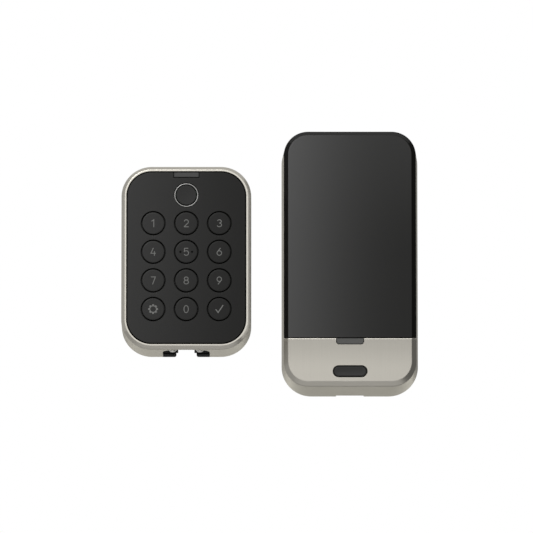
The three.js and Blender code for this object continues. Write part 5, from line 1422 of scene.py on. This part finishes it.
# ---- batteries ----
def battery_cell(index):
    """A cell with a rolled steel edge at each end. Every second one stands on its head."""
    low, high = extent(CELL_NODES[index])
    length, r, foot, rolled, button = high.z - low.z, CELL_RADIUS, 3.8, 5.2, 2.75
    shoulder, dip = length - 1.0, length - 1.35
    edges = [(foot, 0), (r - 0.5, 0), (r - 0.45, 0.55), (r, 0.6), (r, shoulder - 1.1),
             (r - 0.3, shoulder - 1.0), (r - 0.35, shoulder), (rolled, shoulder), (rolled - 0.2, dip),
             (3.2, dip), (button, shoulder), (button - 0.05, length), (0, length)]
    profile = [(0, 0.12), (foot - 0.4, 0.12)] + softened(edges, 0.3)
    flipped = index % 2 == 1
    return turned_up([(radius, high.z - h if flipped else low.z + h) for radius, h in profile],
                     CELL_X[index], CELL_Y, GEAR_SIDES)


def coil(x, base, tip):
    """A conical contact spring of round wire, from its base to its tip."""
    wire, turns, wide, narrowing = 0.32, 4.2, 2.85, 1.05
    margin = 0.16  # how far the wire's middle stays from each end, as a share of the height
    steps = int(turns * 28)
    section = circle(0, 0, wire, 8)
    bm = bmesh.new()
    loops = []
    for step in range(steps + 1):
        share = step / steps
        angle = 2 * math.pi * turns * share
        out = Vector((math.cos(angle), math.sin(angle), 0))
        rise = base + (tip - base) * (margin + (1 - 2 * margin) * share)
        middle = Vector((x, CELL_Y, rise)) + out * (wide - narrowing * share)
        loops.append(ring_of(bm, [middle + out * a + Vector((0, 0, b)) for a, b in section]))
    for first, second in zip(loops, loops[1:]):
        skin(bm, first, second)
    bm.faces.new(loops[0])
    bm.faces.new(loops[-1])
    return made(bm)


def contact(node, cells, top):
    """A contact strip with a dimple for each positive end and a spring for each negative end."""
    low, high = extent(node)
    thick, outward = 0.5, 1 if top else -1
    plate, tip = (high.z - thick, low.z) if top else (low.z + thick, high.z)
    outline = rounded(high.x - low.x, high.y - low.y, 1.2, (low.x + high.x) / 2, CELL_Y, 8)
    strip = upright(outline, plate, plate + outward * thick, edge=0.1)
    sunk, reach = plate + outward * thick / 2, tip - plate
    dome = [(0, sunk), (2.1, sunk), (2.05, plate), (1.75, plate + reach * 0.5), (1.2, plate + reach * 0.86),
            (0.6, plate + reach * 0.98), (0, tip)]
    springs = []
    for index in cells:
        if (index % 2 == 1) == top:
            springs.append(coil(CELL_X[index], plate, tip))
        else:
            strip = joined(strip, turned_up(dome, CELL_X[index], CELL_Y, SMALL_SIDES))
    return gathered(strip, *springs)


def battery_tray():
    """An open tray with a rib between each two cells, its corners trimmed to the housing's inside."""
    low, high = extent("battery_tray")
    inner, wall, floor = CELL_X[-1] + CELL_RADIUS + FIT, 1.2, high.y - 1.4
    room = stack([(y, inside_outline(y, INSIDE_WALL + FIT)) for y in (CHASSIS_FRONT, EDGE_BACK)])
    outer = common(block(about(0, inner + wall), (high.y, low.y), (low.z, high.z)), room)
    pocket = block(about(0, inner), (floor, low.y - 1), (low.z + wall, high.z - wall))
    rib_deep, rib_tall = (floor + 0.7, floor - 3.8), (CELL_LOW.z + 6, CELL_HIGH.z - 6)
    ribs = [block(about(x - CELL_PITCH / 2, 0.8), rib_deep, rib_tall) for x in CELL_X[1:]]
    return eased(joined(cut(outer, pocket), *ribs), 0.18)


def make_inside_unit():
    place(inside_housing(), "inside_housing", sharp=math.radians(17))
    place_each(battery_cover, cover_latch, lock_button, mounting_plate, chassis_plate, spindle_gear,
               idler_gear, motor_pinion, drive_motor, gear_deck, battery_tray)
    for index, node in enumerate(CELL_NODES):
        place(battery_cell(index), node)
    for node, cells, top in (("contact_top_left", (0, 1), True), ("contact_top_right", (2, 3), True),
                             ("contact_bottom_left", (0,), False), ("contact_bottom_middle", (1, 2), False),
                             ("contact_bottom_right", (3,), False)):
        place(contact(node, cells, top), node)
    for node in ("chassis_screw_1", "chassis_screw_2"):
        place(screw(node, CHASSIS_BACK + FIT, -1), node)
    for node in ("plate_screw_1", "plate_screw_2"):
        place(screw(node, CHASSIS_FRONT - FIT, 1), node)


make_inside_unit()


# ---- nodes that keep their own shape ----
def dress_the_rest():
    for node, shape in frame["nodes"].items():
        if node not in PIECES:
            shape.data.materials.clear()
            shape.data.materials.append(FINISH[SLOT_OF[node]])


dress_the_rest()


# ---- floor, world, cards and lamp ----
FLOOR_Z, FLOOR_RADIUS = -900.0, 6500
ROOM_LEVEL = 0.6  # how brightly the room lights the matt surfaces
LAMP_PLACE, LAMP_SIZE, LAMP_WATTS = Vector((-350, -900, 650)), 500, 4.5


def add_floor():
    bm = bmesh.new()
    bm.faces.new(ring_of(bm, [(x, y, FLOOR_Z) for x, y in circle(0, 0, FLOOR_RADIUS)]))
    floor = made(bm, "studio_floor")
    floor.data.transform(Matrix.Scale(MM, 4))
    bench = new_finish("floor_paper")
    fibre = bench.noise(60.0)
    pale = bench.mix(fibre, grey(0.88), grey(0.92))
    bench.close_one_sided(bench.node("BsdfPrincipled", {}, {"Base Color": pale, "Roughness": 0.8}))
    floor.data.materials.append(FINISH["floor_paper"])


def add_world():
    """White to the camera and in reflections; a softer level lights the matt surfaces."""
    world = bpy.data.worlds.new("studio")
    world.use_nodes = True
    bpy.context.scene.world = world
    bench = Bench(world.node_tree)
    seen = bench.node("LightPath", output="Is Camera Ray") + bench.node("LightPath", output="Is Glossy Ray")
    seen = seen + bench.node("LightPath", output="Is Transmission Ray")
    strength = bench.node("MapRange", {}, {"Value": seen, "To Min": ROOM_LEVEL, "To Max": 1.0})
    light = bench.node("Background", {}, {"Color": grey(1), "Strength": strength})
    bench.node("OutputWorld", {}, [light])


def add_card(name, corners, level, one_side=False):
    """A softly lit studio card beside the set, seen only in its reflections."""
    bm = bmesh.new()
    bm.faces.new(ring_of(bm, [LOCK_MIDDLE + Vector(corner) for corner in corners]))
    card = made(bm, name)
    card.data.transform(Matrix.Scale(MM, 4))
    bench = new_finish(name + "_paper")
    glow = bench.spread(bench.noise(40.0), grey(level), 0.05)
    paper = bench.node("BsdfPrincipled", {},
                       {"Base Color": grey(0), "Roughness": 1.0, "Specular IOR Level": 0.0,
                        "Emission Color": glow, "Emission Strength": 1.0})
    if one_side:
        bench.close_one_sided(paper)
    else:
        bench.node("OutputMaterial", {}, [paper])
    card.data.materials.append(FINISH[name + "_paper"])
    card.visible_camera = card.visible_diffuse = card.visible_shadow = False


def level_corners(x, y, z):
    """A level card's corners, at one height."""
    return [(x[0], y[0], z), (x[1], y[0], z), (x[1], y[1], z), (x[0], y[1], z)]


def wall_corners(x, y, z):
    """A back wall card's corners, at one depth."""
    return [(x[0], y, z[0]), (x[1], y, z[0]), (x[1], y, z[1]), (x[0], y, z[1])]


def side_corners(x, y, z):
    """A side card's corners, at one place across."""
    return [(x, y[0], z[0]), (x, y[1], z[0]), (x, y[1], z[1]), (x, y[0], z[1])]


def add_cards():
    """Cards at the sides, under, between, over and behind the units, placed from the lock's middle."""
    side, top, back, split = 480, 500, 350, 20
    side_depth, side_height, back_height = (-2000, 500), (-600, 600), (-60, top)
    add_card("left_card", side_corners(-side, side_depth, side_height), 0.46)
    add_card("right_card", side_corners(side, side_depth, side_height), 0.17)
    add_card("under_card", level_corners((-320, 320), (20, 420), -420), 0.1)
    # its depth is given from the back, so that it faces the outside unit and not the inside one
    add_card("middle_card", side_corners(-2, (-13, -34), (-50, 50)), 1.0, one_side=True)
    add_card("top_card", level_corners((-side, side), (-300, back), top), 0.6)
    add_card("left_back_card", wall_corners((-side, split), back, back_height), 0.45)
    add_card("right_back_card", wall_corners((split, side), back, back_height), 0.3)


def add_lamp():
    panel = bpy.data.lights.new("key_lamp", "AREA")
    panel.shape = "RECTANGLE"
    panel.size = panel.size_y = LAMP_SIZE * MM
    panel.energy = LAMP_WATTS
    lamp = bpy.data.objects.new("key_lamp", panel)
    lamp.visible_camera = False
    aim(lamp, LOCK_MIDDLE + LAMP_PLACE, LOCK_MIDDLE)


add_floor()
add_world()
add_cards()
add_lamp()

bpy.context.scene.view_settings.view_transform = "Standard"
